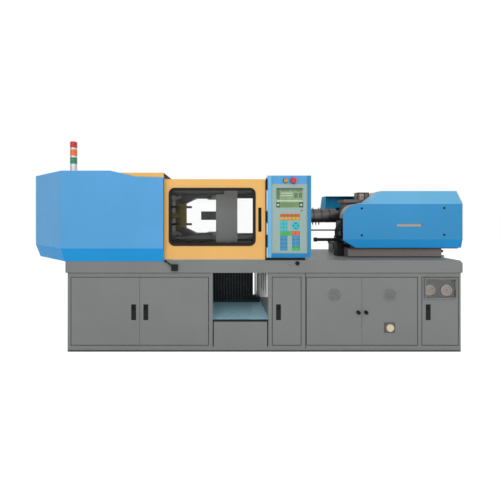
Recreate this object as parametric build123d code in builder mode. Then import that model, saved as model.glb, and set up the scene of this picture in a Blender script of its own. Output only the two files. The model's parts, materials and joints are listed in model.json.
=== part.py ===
"""Horizontal injection moulding machine with a toggle clamp, a sliding safety door on each side,
a reciprocating screw injection unit on a sliding carriage, and a cabinet base.

Frame: +X from the clamp end to the injection end, +Y from the operator side to the rear side,
+Z up. The origin lies on the floor under the middle of the machine. Millimetres.
"""
import os
from math import cos, radians, sin

from build123d import *

os.makedirs("parts", exist_ok=True)

# Shared fits
overrun = 5.0
running_gap = 0.4
seat_gap = 0.3
panel_gap = 4.0

# Whole machine
machine_length = 4642.0
machine_depth = 1120.0
half_length = machine_length / 2
half_depth = machine_depth / 2
axis_z = 1375.0

# Base cabinet
base_left = -1785.0
base_right = 2180.0
base_inset = 60.0
base_half = half_depth - base_inset
base_bottom = 30.0
base_wall = 30.0
base_floor = 20.0
beam_proud = 15.0
beam_bottom = 800.0
beam_top = 925.0
beam_plate = 40.0
beam_corner = 28.0
beam_left = base_left - beam_proud
beam_right = base_right + beam_proud / 2
beam_half = base_half + beam_proud
partition = 36.0

# Levelling feet
foot_radius = 60.0
foot_pad = 14.0
foot_stud_radius = 14.0
foot_edge = 95.0
feet_per_side = 4

# Part drop space between the two cabinet halves
drop_left = -322.0
drop_right = 240.0
drop_bottom = 323.0
drop_rear = 100.0
drop_through_half = 285.0
panel_side_gap = 12.0
panel_top_gap = 18.0
chute_sheet = 6.0
chute_rise = 8.0
chute_lip = 18.0
bar_width = 14.0
bar_thick = 8.0
bar_pitch = 34.0
bar_rail = 24.0

# Cabinet doors
door_sheet = 3.0
door_fold = 22.0
door_top = 750.0
door_foot = 70.0
left_pair_start = -1747.0
left_pair_end = -367.0
single_start = 282.0
single_end = 567.0
far_edge = 28.0
far_width = 361.0
far_post = 51.0
far_end = base_right - far_edge
far_start = far_end - far_width
right_pair_start = 627.0
right_pair_end = far_start - far_post
door_reveal = 3.0
hinge_inset = 6.0
hinge_pin_radius = 2.5
hinge_pin_reach = 6.0
grip_width = 40.0
grip_height = 150.0
grip_depth = 12.0
grip_inset = 40.0
grip_middle = 400.0
vent_radius = 63.0
vent_slot = 7.0
vent_pitch = 16.0
vent_z = 574.0
knob_radius = 17.5
knob_length = 22.0
knob_shaft = 8.0
knob_inset = 38.0
gauge_pane_width = 300.0
gauge_pane_height = 188.0
gauge_pane_top = 735.0

# Cabinet contents
motor_radius = 125.0
motor_length = 360.0
motor_foot = 30.0
motor_gap = 90.0
motor_room = 35.0
pump_radius = 80.0
tank_left = 640.0
tank_right = right_pair_end - motor_room - motor_length - motor_gap / 2
tank_room = 50.0
tank_half = base_half - base_wall - tank_room
tank_height = 420.0
tank_wall = 6.0
switch_plate = 4.0
switch_margin = 120.0
switch_unit_depth = 90.0
switch_unit_height = 150.0
switch_units = 5

# Clamp covers
cover_wall = 3.0
cover_bottom = 915.0
cover_bevel_top = 1049.0
cover_top = 1819.0
cover_right = -809.0
cover_crease = -1820.0
cover_nose_half = 144.0
cover_slope_start = -1335.0
cover_slope_knee = -1088.0
cover_knee_z = 1761.0
cover_right_top = 1752.0
cover_bevel_in = half_depth - beam_half - cover_wall
roof_right = -807.0
roof_top = 1801.0
roof_inset = 15.0
roof_half = half_depth - roof_inset
roof_wall = 4.0

# Signal tower
tower_x = -1771.0
tower_inset = 160.0
tower_y = tower_inset - half_depth
tower_radius = 35.0
tower_height = 323.0
tower_top = cover_top + tower_height
tower_lens = 66.0
tower_ring = 17.0
tower_stem_radius = 12.0
tower_cap_round = 9.0

# Safety doors
guard_left = -815.0
guard_right = 208.0
guard_top = 1741.0
guard_inset = 55.0
guard_face = half_depth - guard_inset
guard_thick = 40.0
guard_travel = 850.0
guard_window_left = -764.0
guard_window_right = 111.0
guard_window_bottom = 1069.0
guard_window_top = 1654.0
guard_window_corner = 60.0
guard_trim_width = 30.0
guard_trim_proud = 6.0
guard_lip = 12.0
guard_pane = 6.0
guard_pull_left = 137.0
guard_pull_right = 170.0
guard_pull_bottom = 1211.0
guard_pull_top = 1454.0
guard_pull_deep = 22.0
guard_pull_wall = 4.0
rear_left_reach = 55.0
rear_right_reach = 120.0
rear_window_shift = 15.0
rail_height = 9.0
rail_width = 14.0
guard_bottom = beam_top + rail_height + running_gap

# Platens and tie bars
platen_size = 620.0
platen_round = 45.0
platen_notch_deep = 90.0
platen_notch_low = 226.0
moving_rear = -290.0
moving_thick = 230.0
fixed_front = 215.0
fixed_thick = 220.0
tail_thick = 190.0
tie_edge = 60.0
tie_spacing = platen_size - 2 * tie_edge
tie_radius = 32.5
tie_overhang = 95.0
tie_nut_radius = 58.0
tie_nut_length = 60.0
locating_radius = 62.5
locating_depth = 25.0
barrel_way_radius = 90.0
clamp_hole_radius = 9.0
clamp_hole_depth = 45.0
clamp_hole_inset = 110.0
clamp_hole_pitch = tie_spacing - 2 * clamp_hole_inset

# Toggle
toggle_edge = 80.0
toggle_offset = platen_size / 2 - toggle_edge
toggle_link = 180.0
toggle_reach = 80.0
eye_radius = 40.0
pin_radius = 20.0
rear_plate_inner = 32.0
link_plate = 30.0
plate_gap = 3.0
link_waist = 54.0
arm_radius = 90.0
arm_angle = -52.5
arm_eye = 30.0
arm_pin_radius = 15.0
yoke_half = 29.0
yoke_slot_play = 2.6
yoke_rim = 20.0
tail_window_half = 66.0
tail_window_edge = 30.0
tail_window_height = 2 * (toggle_offset - tail_window_edge)

# Crosshead drive
rod_radius = 30.0
piston_radius = 60.0
piston_length = 40.0
cylinder_wall = 22.0
cylinder_length = 480.0
cylinder_flange = 30.0
cylinder_flange_half = 95.0
cylinder_flange_lap = 20.0
cylinder_flange_height = tail_window_height + 2 * cylinder_flange_lap
guide_radius = 13.0
guide_room = 22.4
guide_end = -575.0

# Ejector
ejector_half = 26.0
ejector_height = 100.0
ejector_length = 175.0
ejector_rod_radius = 14.0

# Operator panel
panel_left = 228.0
panel_right = 662.0
panel_top = 1775.0
panel_bottom = 954.0
panel_inset = 35.0
panel_face = half_depth - panel_inset
panel_room = 90.0
panel_depth = panel_face - platen_size / 2 - panel_room
panel_edge = 14.0
face_left = 267.0
face_right = 628.0
face_top = 1691.0
face_bottom = 996.0
face_sheet = 3.0
screen_left = 316.0
screen_right = 583.0
screen_top = 1648.0
screen_bottom = 1455.0
screen_proud = 2.0
key_left = 352.0
key_right = 548.0
key_top = 1392.0
key_bottom = 1020.0
key_share = 0.8
key_proud = 2.0
jog_radius = 40.0
jog_shares = (0.8, 0.68)
stop_x = 484.0
stop_z = 1724.0
stop_radius = 28.0
stop_head = 16.0
stop_neck_radius = 11.0
stop_travel = 5.0
lamp_x = 407.0
lamp_radius = 21.0
lamp_head = 12.0
lamp_travel = 4.0
bracket_left = 212.0
bracket_right = 607.0

# Injection bed and carriage
bed_left = 1136.0
bed_right = 2140.0
bed_half = 290.0
bed_top = 1023.0
bed_trough_half = 150.0
bed_trough_deep = 60.0
slide_plate = 30.0
slide_left = 1140.0
slide_right = 2290.0
housing_left = 1180.0
housing_right = 1420.0
housing_half = 165.0
housing_top = 1470.0
support_left = 1055.0
support_right = 1130.0
support_near = 190.0
support_far = 100.0
support_top = 1150.0
carriage_bar_radius = 18.0
carriage_bar_y = 140.0
carriage_bar_z = 1105.0
carriage_bar_start = 815.0
bar_head_radius = 24.0
bar_head_length = 32.0
trip_rod_radius = 8.0
trip_rod_z = 1212.0
trip_rod_start = 640.0

# Barrel and screw
nozzle_tip = 282.0
nozzle_length = 110.0
nozzle_radius = 30.0
nozzle_tip_radius = 12.0
barrel_radius = 55.0
screw_radius = 25.0
screw_gap = 0.3
band_radius = 80.0
band_start = 470.0
band_length = 92.0
band_count = 7
band_share = 0.92
screw_tip = 420.0
screw_end = 1790.0

# Plasticising drive
cylinder_y = 110.0
inject_cylinder_radius = 48.0
inject_rod_radius = 22.0
inject_cylinder_end = 1640.0
inject_rod_end = 1450.0
ram_left = 1700.0
ram_right = 1840.0
ram_half = 190.0
ram_top = 1500.0
drive_radius = 95.0
drive_length = 190.0

# Hopper seat
throat_x = 1255.0
throat_radius = 35.0
feed_radius = 28.0
throat_half = 62.0
hopper_plate_left = 1174.0
hopper_plate_right = 1511.0
hopper_plate_half = 100.0
hopper_plate_top = 1559.0
hopper_plate_thick = 35.0
hopper_hole_radius = 7.0
hopper_hole_x = 130.0
hopper_hole_y = 160.0
gate_left = 1350.0
gate_right = 1483.0
gate_half = 40.0
gate_height = 85.0

# Injection covers
inject_half = 350.0
inject_wall = 3.0
inject_bottom = 1032.0
inject_top = 1640.0
inject_upper_crease = 1498.0
inject_lower_crease = 1123.0
inject_upper_in = 60.0
inject_left = 1056.0
inject_left_top = 1346.0
inject_shoulder = 1185.0
inject_shoulder_z = 1493.0
inject_step = 1334.0
inject_step_z = 1522.0
inject_slope_top = 1495.0
inject_right_slope = 2303.0
inject_right_crease = 1516.0
inject_foot_left = 1197.0
inject_foot_z = 1114.0
inject_open_half = 172.0
inject_open_right = 1525.0
inject_lower_in = 20.0
inject_bulge_share = 0.3
inject_grip_left = 1626.0
inject_grip_right = 1896.0
inject_grip_bottom = 1258.0
inject_grip_top = 1288.0
hood_foot_left = 1330.0
hood_bottom = 1391.0
hood_top = 1614.0
hood_rise_start = 1440.0

# Carriage hoses and their manifold
manifold_left = 1150.0
manifold_right = 1200.0
manifold_near = 190.0
manifold_far = 275.0
manifold_top = 1325.0
manifold_room = 15.0
hose_radius = 11.0
hose_low_z = 1095.0
hose_high_z = 1290.0
hose_reach = 118.0
hose_bend = 60.0
hose_knee_share = 0.6
hose_place_shares = (0.25, 0.75)


def block(x_pair, y_pair, z_pair, mode=Mode.ADD):
    """Add or cut a block between two corners in the part being built."""
    middle = [(low + high) / 2 for low, high in (x_pair, y_pair, z_pair)]
    sizes = [high - low for low, high in (x_pair, y_pair, z_pair)]
    with Locations(tuple(middle)):
        Box(*sizes, mode=mode)


def bar_x(radius, start, end, y, z, mode=Mode.ADD):
    """Add or cut a round bar that runs along X."""
    with Locations(((start + end) / 2, y, z)):
        Cylinder(radius, end - start, rotation=(0, 90, 0), mode=mode)


def bar_y(radius, start, end, x, z, mode=Mode.ADD):
    """Add or cut a round bar that runs along Y."""
    with Locations((x, (start + end) / 2, z)):
        Cylinder(radius, end - start, rotation=(90, 0, 0), mode=mode)


def bar_z(radius, start, end, x, y, mode=Mode.ADD):
    """Add or cut a round bar that stands along Z."""
    with Locations((x, y, (start + end) / 2)):
        Cylinder(radius, end - start, mode=mode)


def save(piece, name):
    """Label a finished piece and write its file."""
    piece.label = name
    export_step(piece, f"parts/{name}.step")


# Base frame: a box of panels with door openings, a beam round the top and a part drop space
door_bays = [
    (left_pair_start, left_pair_end),
    (single_start, single_end),
    (right_pair_start, right_pair_end),
    (far_start, far_end),
]
hinge_places = {
    "clamp_door_left": left_pair_start + hinge_inset,
    "clamp_door_right": left_pair_end - hinge_inset,
    "middle_door": single_end - hinge_inset,
    "pump_door_left": right_pair_start + hinge_inset,
    "pump_door_right": right_pair_end - hinge_inset,
    "gauge_door": far_end - hinge_inset,
}
hinge_y = -base_half + hinge_inset
drop_posts = (drop_left - partition, drop_right + partition)
bay_walls = (single_end + panel_gap, right_pair_end + panel_gap)

with BuildPart() as base_frame:
    block((base_left, base_right), (-base_half, base_half), (base_bottom, beam_bottom))
    block(
        (base_left + base_wall, base_right - base_wall),
        (-base_half + base_wall, base_half - base_wall),
        (base_bottom + base_floor, beam_bottom + overrun),
        mode=Mode.SUBTRACT,
    )
    block((beam_left, beam_right), (-beam_half, beam_half), (beam_bottom, beam_top))
    with BuildSketch(Plane.XZ.offset(-beam_half - overrun)):
        with BuildLine():
            Polyline(
                (beam_right + overrun, beam_top + overrun),
                (beam_right - beam_corner - overrun, beam_top + overrun),
                (beam_right + overrun, beam_top - beam_corner - overrun),
                close=True,
            )
        make_face()
    extrude(amount=2 * beam_half + 2 * overrun, mode=Mode.SUBTRACT)
    block(
        (beam_left + beam_plate, beam_right - beam_plate),
        (-beam_half + beam_plate, beam_half - beam_plate),
        (beam_bottom - overrun, beam_top - beam_plate),
        mode=Mode.SUBTRACT,
    )
    for start, end in [
        (drop_posts[0], drop_left),
        (drop_right, drop_posts[1]),
        (bay_walls[0], bay_walls[0] + partition),
        (bay_walls[1], bay_walls[1] + partition),
    ]:
        block(
            (start, end),
            (-base_half, base_half),
            (base_bottom, beam_top - beam_plate / 2),
        )
    for start, end in door_bays:
        block(
            (start - door_reveal, end + door_reveal),
            (-base_half - overrun, -base_half + base_wall + overrun),
            (door_foot - door_reveal, door_top + door_reveal),
            mode=Mode.SUBTRACT,
        )
    pin_reach = door_reveal + door_sheet + hinge_pin_reach
    for hinge_x in hinge_places.values():
        for start in (door_foot - door_reveal, door_top + door_reveal - pin_reach):
            bar_z(hinge_pin_radius, start, start + pin_reach, hinge_x, hinge_y)
    block(
        (drop_left, drop_right),
        (-base_half - overrun, base_half + overrun),
        (drop_bottom, beam_bottom),
        mode=Mode.SUBTRACT,
    )
    block(
        (drop_left, drop_right),
        (-drop_through_half, drop_through_half),
        (beam_bottom - overrun, beam_top + overrun),
        mode=Mode.SUBTRACT,
    )
    for start, end in [
        (drop_left, drop_left + panel_side_gap),
        (drop_right - panel_side_gap, drop_right),
    ]:
        block(
            (start, end),
            (-base_half - overrun, -base_half + base_wall + overrun),
            (base_bottom + base_floor, drop_bottom + overrun),
            mode=Mode.SUBTRACT,
        )
    block(
        (drop_left, drop_right),
        (-base_half - overrun, -base_half + base_wall + overrun),
        (drop_bottom - panel_top_gap, drop_bottom + overrun),
        mode=Mode.SUBTRACT,
    )
save(base_frame.part, "base_frame")

# Levelling feet: pad and stud under the base floor
foot_step = (base_right - base_left - 2 * foot_edge) / (feet_per_side - 1)
with BuildPart() as levelling_feet:
    for row in range(feet_per_side):
        for side in (-1, 1):
            foot_x = base_left + foot_edge + row * foot_step
            foot_y = side * (base_half - foot_edge)
            bar_z(foot_radius, 0, foot_pad, foot_x, foot_y)
            bar_z(foot_stud_radius, foot_pad, base_bottom, foot_x, foot_y)
save(levelling_feet.part, "levelling_feet")

# Chute: a bent sheet that carries the dropped parts to the front
with BuildPart() as drop_chute:
    with BuildSketch(Plane.YZ.offset(drop_left + running_gap)):
        with BuildLine():
            Polyline(
                (-base_half, drop_bottom - chute_lip),
                (-base_half, drop_bottom),
                (drop_rear, drop_bottom + chute_rise),
                (drop_rear, drop_bottom + chute_rise - chute_sheet),
                (-base_half + chute_sheet, drop_bottom - chute_sheet),
                (-base_half + chute_sheet, drop_bottom - chute_lip),
                close=True,
            )
        make_face()
    extrude(amount=drop_right - drop_left - 2 * running_gap)
save(drop_chute.part, "drop_chute")

# Grille of upright bars behind the chute
bar_bottom = drop_bottom + chute_rise
bar_count = int((drop_right - drop_left - bar_width) / bar_pitch)
with BuildPart() as chute_grille:
    for low, high in [
        (bar_bottom, bar_bottom + bar_rail),
        (beam_bottom - bar_rail, beam_bottom),
    ]:
        block((drop_left, drop_right), (drop_rear, drop_rear + bar_thick), (low, high))
    with Locations(
        (
            (drop_left + drop_right) / 2,
            drop_rear + bar_thick / 2,
            (bar_bottom + beam_bottom) / 2,
        )
    ):
        with GridLocations(bar_pitch, bar_pitch, bar_count, 1):
            Box(bar_width, bar_thick, beam_bottom - bar_bottom)
save(chute_grille.part, "chute_grille")


def cabinet_door(start, end, hinge_x, grip_end, cuts):
    """A folded door between two X places, with hinge holes and a grip recess near grip_end."""
    with BuildPart() as door:
        block((start, end), (-base_half, -base_half + door_fold), (door_foot, door_top))
        block(
            (start + door_sheet, end - door_sheet),
            (-base_half + door_sheet, -base_half + door_fold + overrun),
            (door_foot + door_sheet, door_top - door_sheet),
            mode=Mode.SUBTRACT,
        )
        bar_z(
            hinge_pin_radius + running_gap,
            door_foot - overrun,
            door_top + overrun,
            hinge_x,
            hinge_y,
            mode=Mode.SUBTRACT,
        )
        if grip_end:
            inward = 1 if grip_end == start else -1
            near = grip_end + inward * grip_inset
            far = near + inward * grip_width
            low_x, high_x = sorted((near, far))
            low_z = grip_middle - grip_height / 2
            block(
                (low_x - door_sheet, high_x + door_sheet),
                (-base_half, -base_half + grip_depth + door_sheet),
                (low_z - door_sheet, low_z + grip_height + door_sheet),
            )
            block(
                (low_x, high_x),
                (-base_half - overrun, -base_half + grip_depth),
                (low_z, low_z + grip_height),
                mode=Mode.SUBTRACT,
            )
        cuts()
    return door.part


def no_cuts():
    """A door with nothing more cut in it."""


def vent_and_knob(middle_x, knob_x):
    """Cuts of a right-hand door: a round group of vent slots and the hole of its knob."""

    def cuts():
        slots = int(vent_radius / vent_pitch)
        for step in range(-slots, slots + 1):
            reach = (vent_radius**2 - (step * vent_pitch) ** 2) ** 0.5 - vent_slot
            block(
                (middle_x - reach, middle_x + reach),
                (-base_half - overrun, -base_half + door_sheet + overrun),
                (
                    vent_z + step * vent_pitch - vent_slot / 2,
                    vent_z + step * vent_pitch + vent_slot / 2,
                ),
                mode=Mode.SUBTRACT,
            )
        bar_y(
            knob_shaft + running_gap,
            -base_half - overrun,
            -base_half + door_sheet + overrun,
            knob_x,
            grip_middle,
            mode=Mode.SUBTRACT,
        )

    return cuts


def gauge_pane():
    """Cut of the far-right door: the shallow seat of the pressure gauge window."""
    middle = (far_start + far_end) / 2
    block(
        (middle - gauge_pane_width / 2, middle + gauge_pane_width / 2),
        (-base_half - overrun, -base_half + door_sheet / 2),
        (gauge_pane_top - gauge_pane_height, gauge_pane_top),
        mode=Mode.SUBTRACT,
    )


left_middle = (left_pair_start + left_pair_end) / 2
right_middle = (right_pair_start + right_pair_end) / 2
knob_places = (right_middle - knob_inset, right_middle + knob_inset)
vent_places = (
    (right_pair_start + right_middle) / 2,
    (right_middle + right_pair_end) / 2,
)
cabinet_doors = {
    "clamp_door_left": (left_pair_start, left_middle - door_reveal / 2, "end", no_cuts),
    "clamp_door_right": (left_middle + door_reveal / 2, left_pair_end, "start", no_cuts),
    "middle_door": (single_start, single_end, "start", no_cuts),
    "pump_door_left": (
        right_pair_start,
        right_middle - door_reveal / 2,
        "none",
        vent_and_knob(vent_places[0], knob_places[0]),
    ),
    "pump_door_right": (
        right_middle + door_reveal / 2,
        right_pair_end,
        "none",
        vent_and_knob(vent_places[1], knob_places[1]),
    ),
    "gauge_door": (far_start, far_end, "start", gauge_pane),
}
for name, (start, end, grip, cuts) in cabinet_doors.items():
    grip_end = {"start": start, "end": end, "none": None}[grip]
    save(cabinet_door(start, end, hinge_places[name], grip_end, cuts), name)

# Quarter-turn knobs of the pump doors, with their shaft and latch tongue
knob_names = ("pump_knob_left", "pump_knob_right")
for name, knob_x in zip(knob_names, knob_places):
    with BuildPart() as knob:
        bar_y(knob_radius, -base_half - knob_length, -base_half - running_gap, knob_x, grip_middle)
        bar_y(
            knob_shaft,
            -base_half - running_gap,
            -base_half + door_fold,
            knob_x,
            grip_middle,
        )
        block(
            (knob_x - knob_shaft, knob_x + knob_shaft),
            (-base_half + door_sheet + running_gap, -base_half + door_fold),
            (grip_middle - knob_radius, grip_middle + knob_inset - knob_shaft),
        )
    save(knob.part, name)

# Oil tank: a closed welded tank
with BuildPart() as oil_tank:
    tank_floor = base_bottom + base_floor
    block((tank_left, tank_right), (-tank_half, tank_half), (tank_floor, tank_floor + tank_height))
    block(
        (tank_left + tank_wall, tank_right - tank_wall),
        (-tank_half + tank_wall, tank_half - tank_wall),
        (tank_floor + tank_wall, tank_floor + tank_height - tank_wall),
        mode=Mode.SUBTRACT,
    )
save(oil_tank.part, "oil_tank")

# Pump motor with its feet, and the oil pump on its shaft end
motor_left = tank_right + motor_gap / 2
motor_z = tank_floor + motor_foot + motor_radius
with BuildPart() as pump_motor:
    bar_x(motor_radius, motor_left, motor_left + motor_length, 0, motor_z)
    block(
        (motor_left + motor_gap, motor_left + motor_length - motor_gap),
        (-motor_radius, motor_radius),
        (tank_floor, motor_z),
    )
    bar_x(pump_radius, motor_left - motor_gap / 2, motor_left, 0, motor_z)
save(pump_motor.part, "pump_motor")

# Electrical plate with its switch units, on the rear wall of the clamp cabinet
switch_left = base_left + base_wall + switch_margin
switch_right = drop_posts[0] - switch_margin
switch_back = base_half - base_wall
switch_pitch = (switch_right - switch_left) / switch_units
with BuildPart() as electrical_panel:
    block(
        (switch_left, switch_right),
        (switch_back - switch_plate, switch_back),
        (base_bottom + switch_margin, beam_bottom - switch_margin),
    )
    for unit in range(switch_units):
        for row in (1, 2):
            middle = switch_left + (unit + 0.5) * switch_pitch
            low = base_bottom + switch_margin * row + switch_unit_height * (row - 0.5)
            block(
                (middle - switch_pitch / 3, middle + switch_pitch / 3),
                (switch_back - switch_unit_depth, switch_back - switch_plate),
                (low, low + switch_unit_height),
            )
save(electrical_panel.part, "electrical_panel")


def cover_plan(side, inset, extra):
    """Points of half of the clamp cover seen from above, grown at its open edges by extra."""
    right = cover_right + inset + extra
    middle = -side * (inset + extra)
    return [
        (right, middle),
        (right, side * half_depth),
        (cover_crease, side * half_depth),
        (-half_length, side * cover_nose_half),
        (-half_length, middle),
    ]


def cover_solid(side, wall, extra):
    """Half of the clamp cover as a filled form, inset by a wall on its closed sides."""
    top = cover_top - wall
    levels = [(cover_bottom, cover_bevel_in), (cover_bevel_top, 0)]
    with BuildPart() as form:
        for level, bevel in levels:
            with BuildSketch(Plane.XY.offset(level)):
                with BuildLine():
                    Polyline(*cover_plan(side, bevel + wall, extra), close=True)
                make_face()
                offset(amount=-(bevel + wall), kind=Kind.INTERSECTION)
        loft(ruled=True)
        with BuildSketch(Plane.XY.offset(cover_bevel_top)):
            with BuildLine():
                Polyline(*cover_plan(side, wall, extra), close=True)
            make_face()
            offset(amount=-wall, kind=Kind.INTERSECTION)
        extrude(amount=top - cover_bevel_top)
        with BuildSketch(Plane.XZ):
            with BuildLine():
                Polyline(
                    (-half_length - overrun, cover_bottom - overrun),
                    (cover_right + overrun + extra, cover_bottom - overrun),
                    (cover_right + overrun + extra, cover_right_top - wall),
                    (cover_slope_knee, cover_knee_z - wall),
                    (cover_slope_start, top),
                    (-half_length - overrun, top),
                    close=True,
                )
            make_face()
        extrude(amount=half_depth + overrun, both=True, mode=Mode.INTERSECT)
    return form.part


# Clamp covers: front and rear sheet shells that meet over the middle of the machine
for name, side in (("clamp_cover_front", -1), ("clamp_cover_rear", 1)):
    with BuildPart() as clamp_cover:
        add(cover_solid(side, 0, 0))
        add(cover_solid(side, cover_wall, overrun), mode=Mode.SUBTRACT)
        block(
            (-half_length - overrun, cover_right + overrun),
            (-half_depth - overrun, half_depth + overrun),
            (cover_bottom - overrun, cover_bottom + seat_gap),
            mode=Mode.SUBTRACT,
        )
    save(clamp_cover.part, name)

# Raised roof over the slope of the covers, open at its right end
slope_run = (cover_slope_knee - cover_slope_start) / (cover_top - cover_knee_z)
roof_left = cover_slope_start + (cover_top - roof_top + seat_gap) * slope_run
with BuildPart() as clamp_roof:
    for wall, mode in ((0, Mode.ADD), (roof_wall, Mode.SUBTRACT)):
        with BuildSketch(Plane.XZ):
            with BuildLine():
                Polyline(
                    (roof_left + wall * slope_run, roof_top - wall),
                    (cover_slope_knee, cover_knee_z + seat_gap),
                    (cover_right, cover_right_top + seat_gap),
                    (roof_right + wall, cover_right_top + seat_gap),
                    (roof_right + wall, roof_top - wall),
                    close=True,
                )
            make_face()
        extrude(amount=roof_half - wall, both=True, mode=mode)
save(clamp_roof.part, "clamp_roof")

# Signal tower: a stem with rings, and three lenses slipped over it
lens_tops = [tower_top - row * (tower_lens + tower_ring) for row in range(3)]
stem_bottom_lens = lens_tops[2] - tower_lens
with BuildPart() as tower_stem:
    bar_z(tower_radius, cover_top, stem_bottom_lens, tower_x, tower_y)
    bar_z(tower_stem_radius, stem_bottom_lens, tower_top - tower_ring, tower_x, tower_y)
    for lens_top in lens_tops[1:]:
        bar_z(tower_radius, lens_top, lens_top + tower_ring, tower_x, tower_y)
save(tower_stem.part, "tower_stem")

for name, lens_top in zip(("tower_red", "tower_amber", "tower_green"), lens_tops):
    with BuildPart() as lens:
        bar_z(tower_radius, lens_top - tower_lens, lens_top, tower_x, tower_y)
        bar_z(
            tower_stem_radius + seat_gap,
            lens_top - tower_lens - overrun,
            min(lens_top + overrun, tower_top - tower_ring + seat_gap),
            tower_x,
            tower_y,
            mode=Mode.SUBTRACT,
        )
        if lens_top == tower_top:
            fillet(lens.edges().group_by(Axis.Z)[-1], tower_cap_round)
    save(lens.part, name)


def guard_window_face(window, grow):
    """The rounded window outline of a safety door, grown or shrunk by an amount."""
    middle_x = (window[0] + window[1]) / 2
    middle_z = (guard_window_bottom + guard_window_top) / 2
    width = window[1] - window[0] + 2 * grow
    height = guard_window_top - guard_window_bottom + 2 * grow
    with BuildSketch() as face:
        with Locations((middle_x, middle_z)):
            RectangleRounded(width, height, guard_window_corner + grow)
    return face.sketch


def guard_slab(outline, side, near, far, mode=Mode.ADD):
    """Extrude a door outline between two distances from the machine's middle plane."""
    low, high = sorted((side * near, side * far))
    extrude(Plane.XZ.offset(-low) * outline, amount=-(high - low), mode=mode)


guard_back = guard_face - guard_thick
pull_z = (guard_pull_bottom, guard_pull_top)
front_span = (guard_left, guard_right)
front_window = (guard_window_left, guard_window_right)
rear_span = (guard_left - rear_left_reach, guard_right + rear_right_reach)
rear_window = (guard_window_left + rear_window_shift, guard_window_right + rear_right_reach)
for end, side, span, window in (
    ("front", -1, front_span, front_window),
    ("rear", 1, rear_span, rear_window),
):
    pull_x = tuple(span[1] - guard_right + x for x in (guard_pull_left, guard_pull_right))
    pull_y = sorted((side * guard_face, side * (guard_face - guard_pull_deep)))
    pull_cut = sorted((side * (guard_face + overrun), side * (guard_face - guard_pull_deep)))
    pull_cup = sorted(
        (side * (guard_face + overrun), side * (guard_face - guard_pull_deep + guard_pull_wall))
    )
    # Door frame with its window opening and grip pocket
    with BuildPart() as guard_door:
        block(
            span,
            sorted((side * guard_back, side * guard_face)),
            (guard_bottom, guard_top),
        )
        guard_slab(
            guard_window_face(window, -guard_lip),
            side,
            guard_back - overrun,
            guard_face + overrun,
            mode=Mode.SUBTRACT,
        )
        block(pull_x, pull_cut, pull_z, mode=Mode.SUBTRACT)
    save(guard_door.part, f"{end}_door")
    # Clear pane set in the opening
    with BuildPart() as guard_pane_sheet:
        guard_slab(
            guard_window_face(window, -guard_lip - seat_gap),
            side,
            guard_face - guard_thick / 2,
            guard_face - guard_thick / 2 + guard_pane,
        )
    save(guard_pane_sheet.part, f"{end}_door_window")
    # Black edge round the window, and the grip cup
    with BuildPart() as guard_trim:
        guard_slab(guard_window_face(window, 0), side, guard_face, guard_face + guard_trim_proud)
        guard_slab(
            guard_window_face(window, -guard_trim_width),
            side,
            guard_face - overrun,
            guard_face + guard_trim_proud + overrun,
            mode=Mode.SUBTRACT,
        )
        block(pull_x, pull_y, pull_z)
        block(
            (pull_x[0] + guard_pull_wall, pull_x[1] - guard_pull_wall),
            pull_cup,
            (guard_pull_bottom + guard_pull_wall, guard_pull_top - guard_pull_wall),
            mode=Mode.SUBTRACT,
        )
    save(guard_trim.part, f"{end}_door_trim")

# Rails of the safety doors along both edges of the beam
guard_middle = guard_face - guard_thick / 2
with BuildPart() as door_rails:
    for side, span in ((-1, front_span), (1, rear_span)):
        low, high = sorted((side * (guard_middle - rail_width), side * (guard_middle + rail_width)))
        block(
            (span[0] - guard_travel, span[1]),
            (low, high),
            (beam_top, beam_top + rail_height),
        )
save(door_rails.part, "door_rails")

# Fixed guard on the rear side, past the rear door
rear_guard_left = panel_left + rear_right_reach
with BuildPart() as rear_guard:
    block((rear_guard_left, panel_right), (guard_back, guard_face), (beam_top, guard_top))
    block(
        (rear_guard_left + cover_wall, panel_right - cover_wall),
        (guard_back - overrun, guard_face - cover_wall),
        (beam_top - overrun, guard_top - cover_wall),
        mode=Mode.SUBTRACT,
    )
save(rear_guard.part, "rear_guard")

# Places along the clamp axis
moving_front = moving_rear + moving_thick
fixed_rear = fixed_front + fixed_thick
platen_pivot = moving_rear - toggle_reach
knuckle_x = platen_pivot - toggle_link
tail_pivot = knuckle_x - toggle_link
tail_front = tail_pivot - toggle_reach
tail_rear = tail_front - tail_thick
platen_half = platen_size / 2
platen_foot = platen_half / 2
tie_half = tie_spacing / 2
rear_plate_outer = rear_plate_inner + link_plate
outer_plate_inner = rear_plate_outer + plate_gap
outer_plate_outer = outer_plate_inner + link_plate
arm_x = tail_pivot + arm_radius * cos(radians(arm_angle))
arm_drop = toggle_offset + arm_radius * sin(radians(arm_angle))
arm_low = toggle_offset - arm_radius


def platen_block(start, end):
    """A square platen with rounded long edges and the four holes of the tie bars."""
    with BuildPart() as platen:
        with BuildSketch(Plane.YZ.offset(start)):
            with Locations((0, axis_z)):
                RectangleRounded(platen_size, platen_size, platen_round)
                with GridLocations(tie_spacing, tie_spacing, 2, 2):
                    Circle(tie_radius + running_gap, mode=Mode.SUBTRACT)
        extrude(amount=end - start)
    return platen.part


def clamp_holes(face, depth):
    """Cut the square of threaded holes that hold a mould half on a platen face."""
    for y in (-clamp_hole_pitch / 2, clamp_hole_pitch / 2):
        for z in (-clamp_hole_pitch / 2, clamp_hole_pitch / 2):
            low, high = sorted((face, face + depth))
            bar_x(clamp_hole_radius, low, high, y, axis_z + z, mode=Mode.SUBTRACT)


def platen_feet(start, end):
    """Stand a platen on the beam with two feet."""
    for side in (-1, 1):
        low, high = sorted((side * platen_foot, side * (platen_half - platen_round)))
        block((start, end), (low, high), (beam_top, axis_z - platen_half + overrun))


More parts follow.
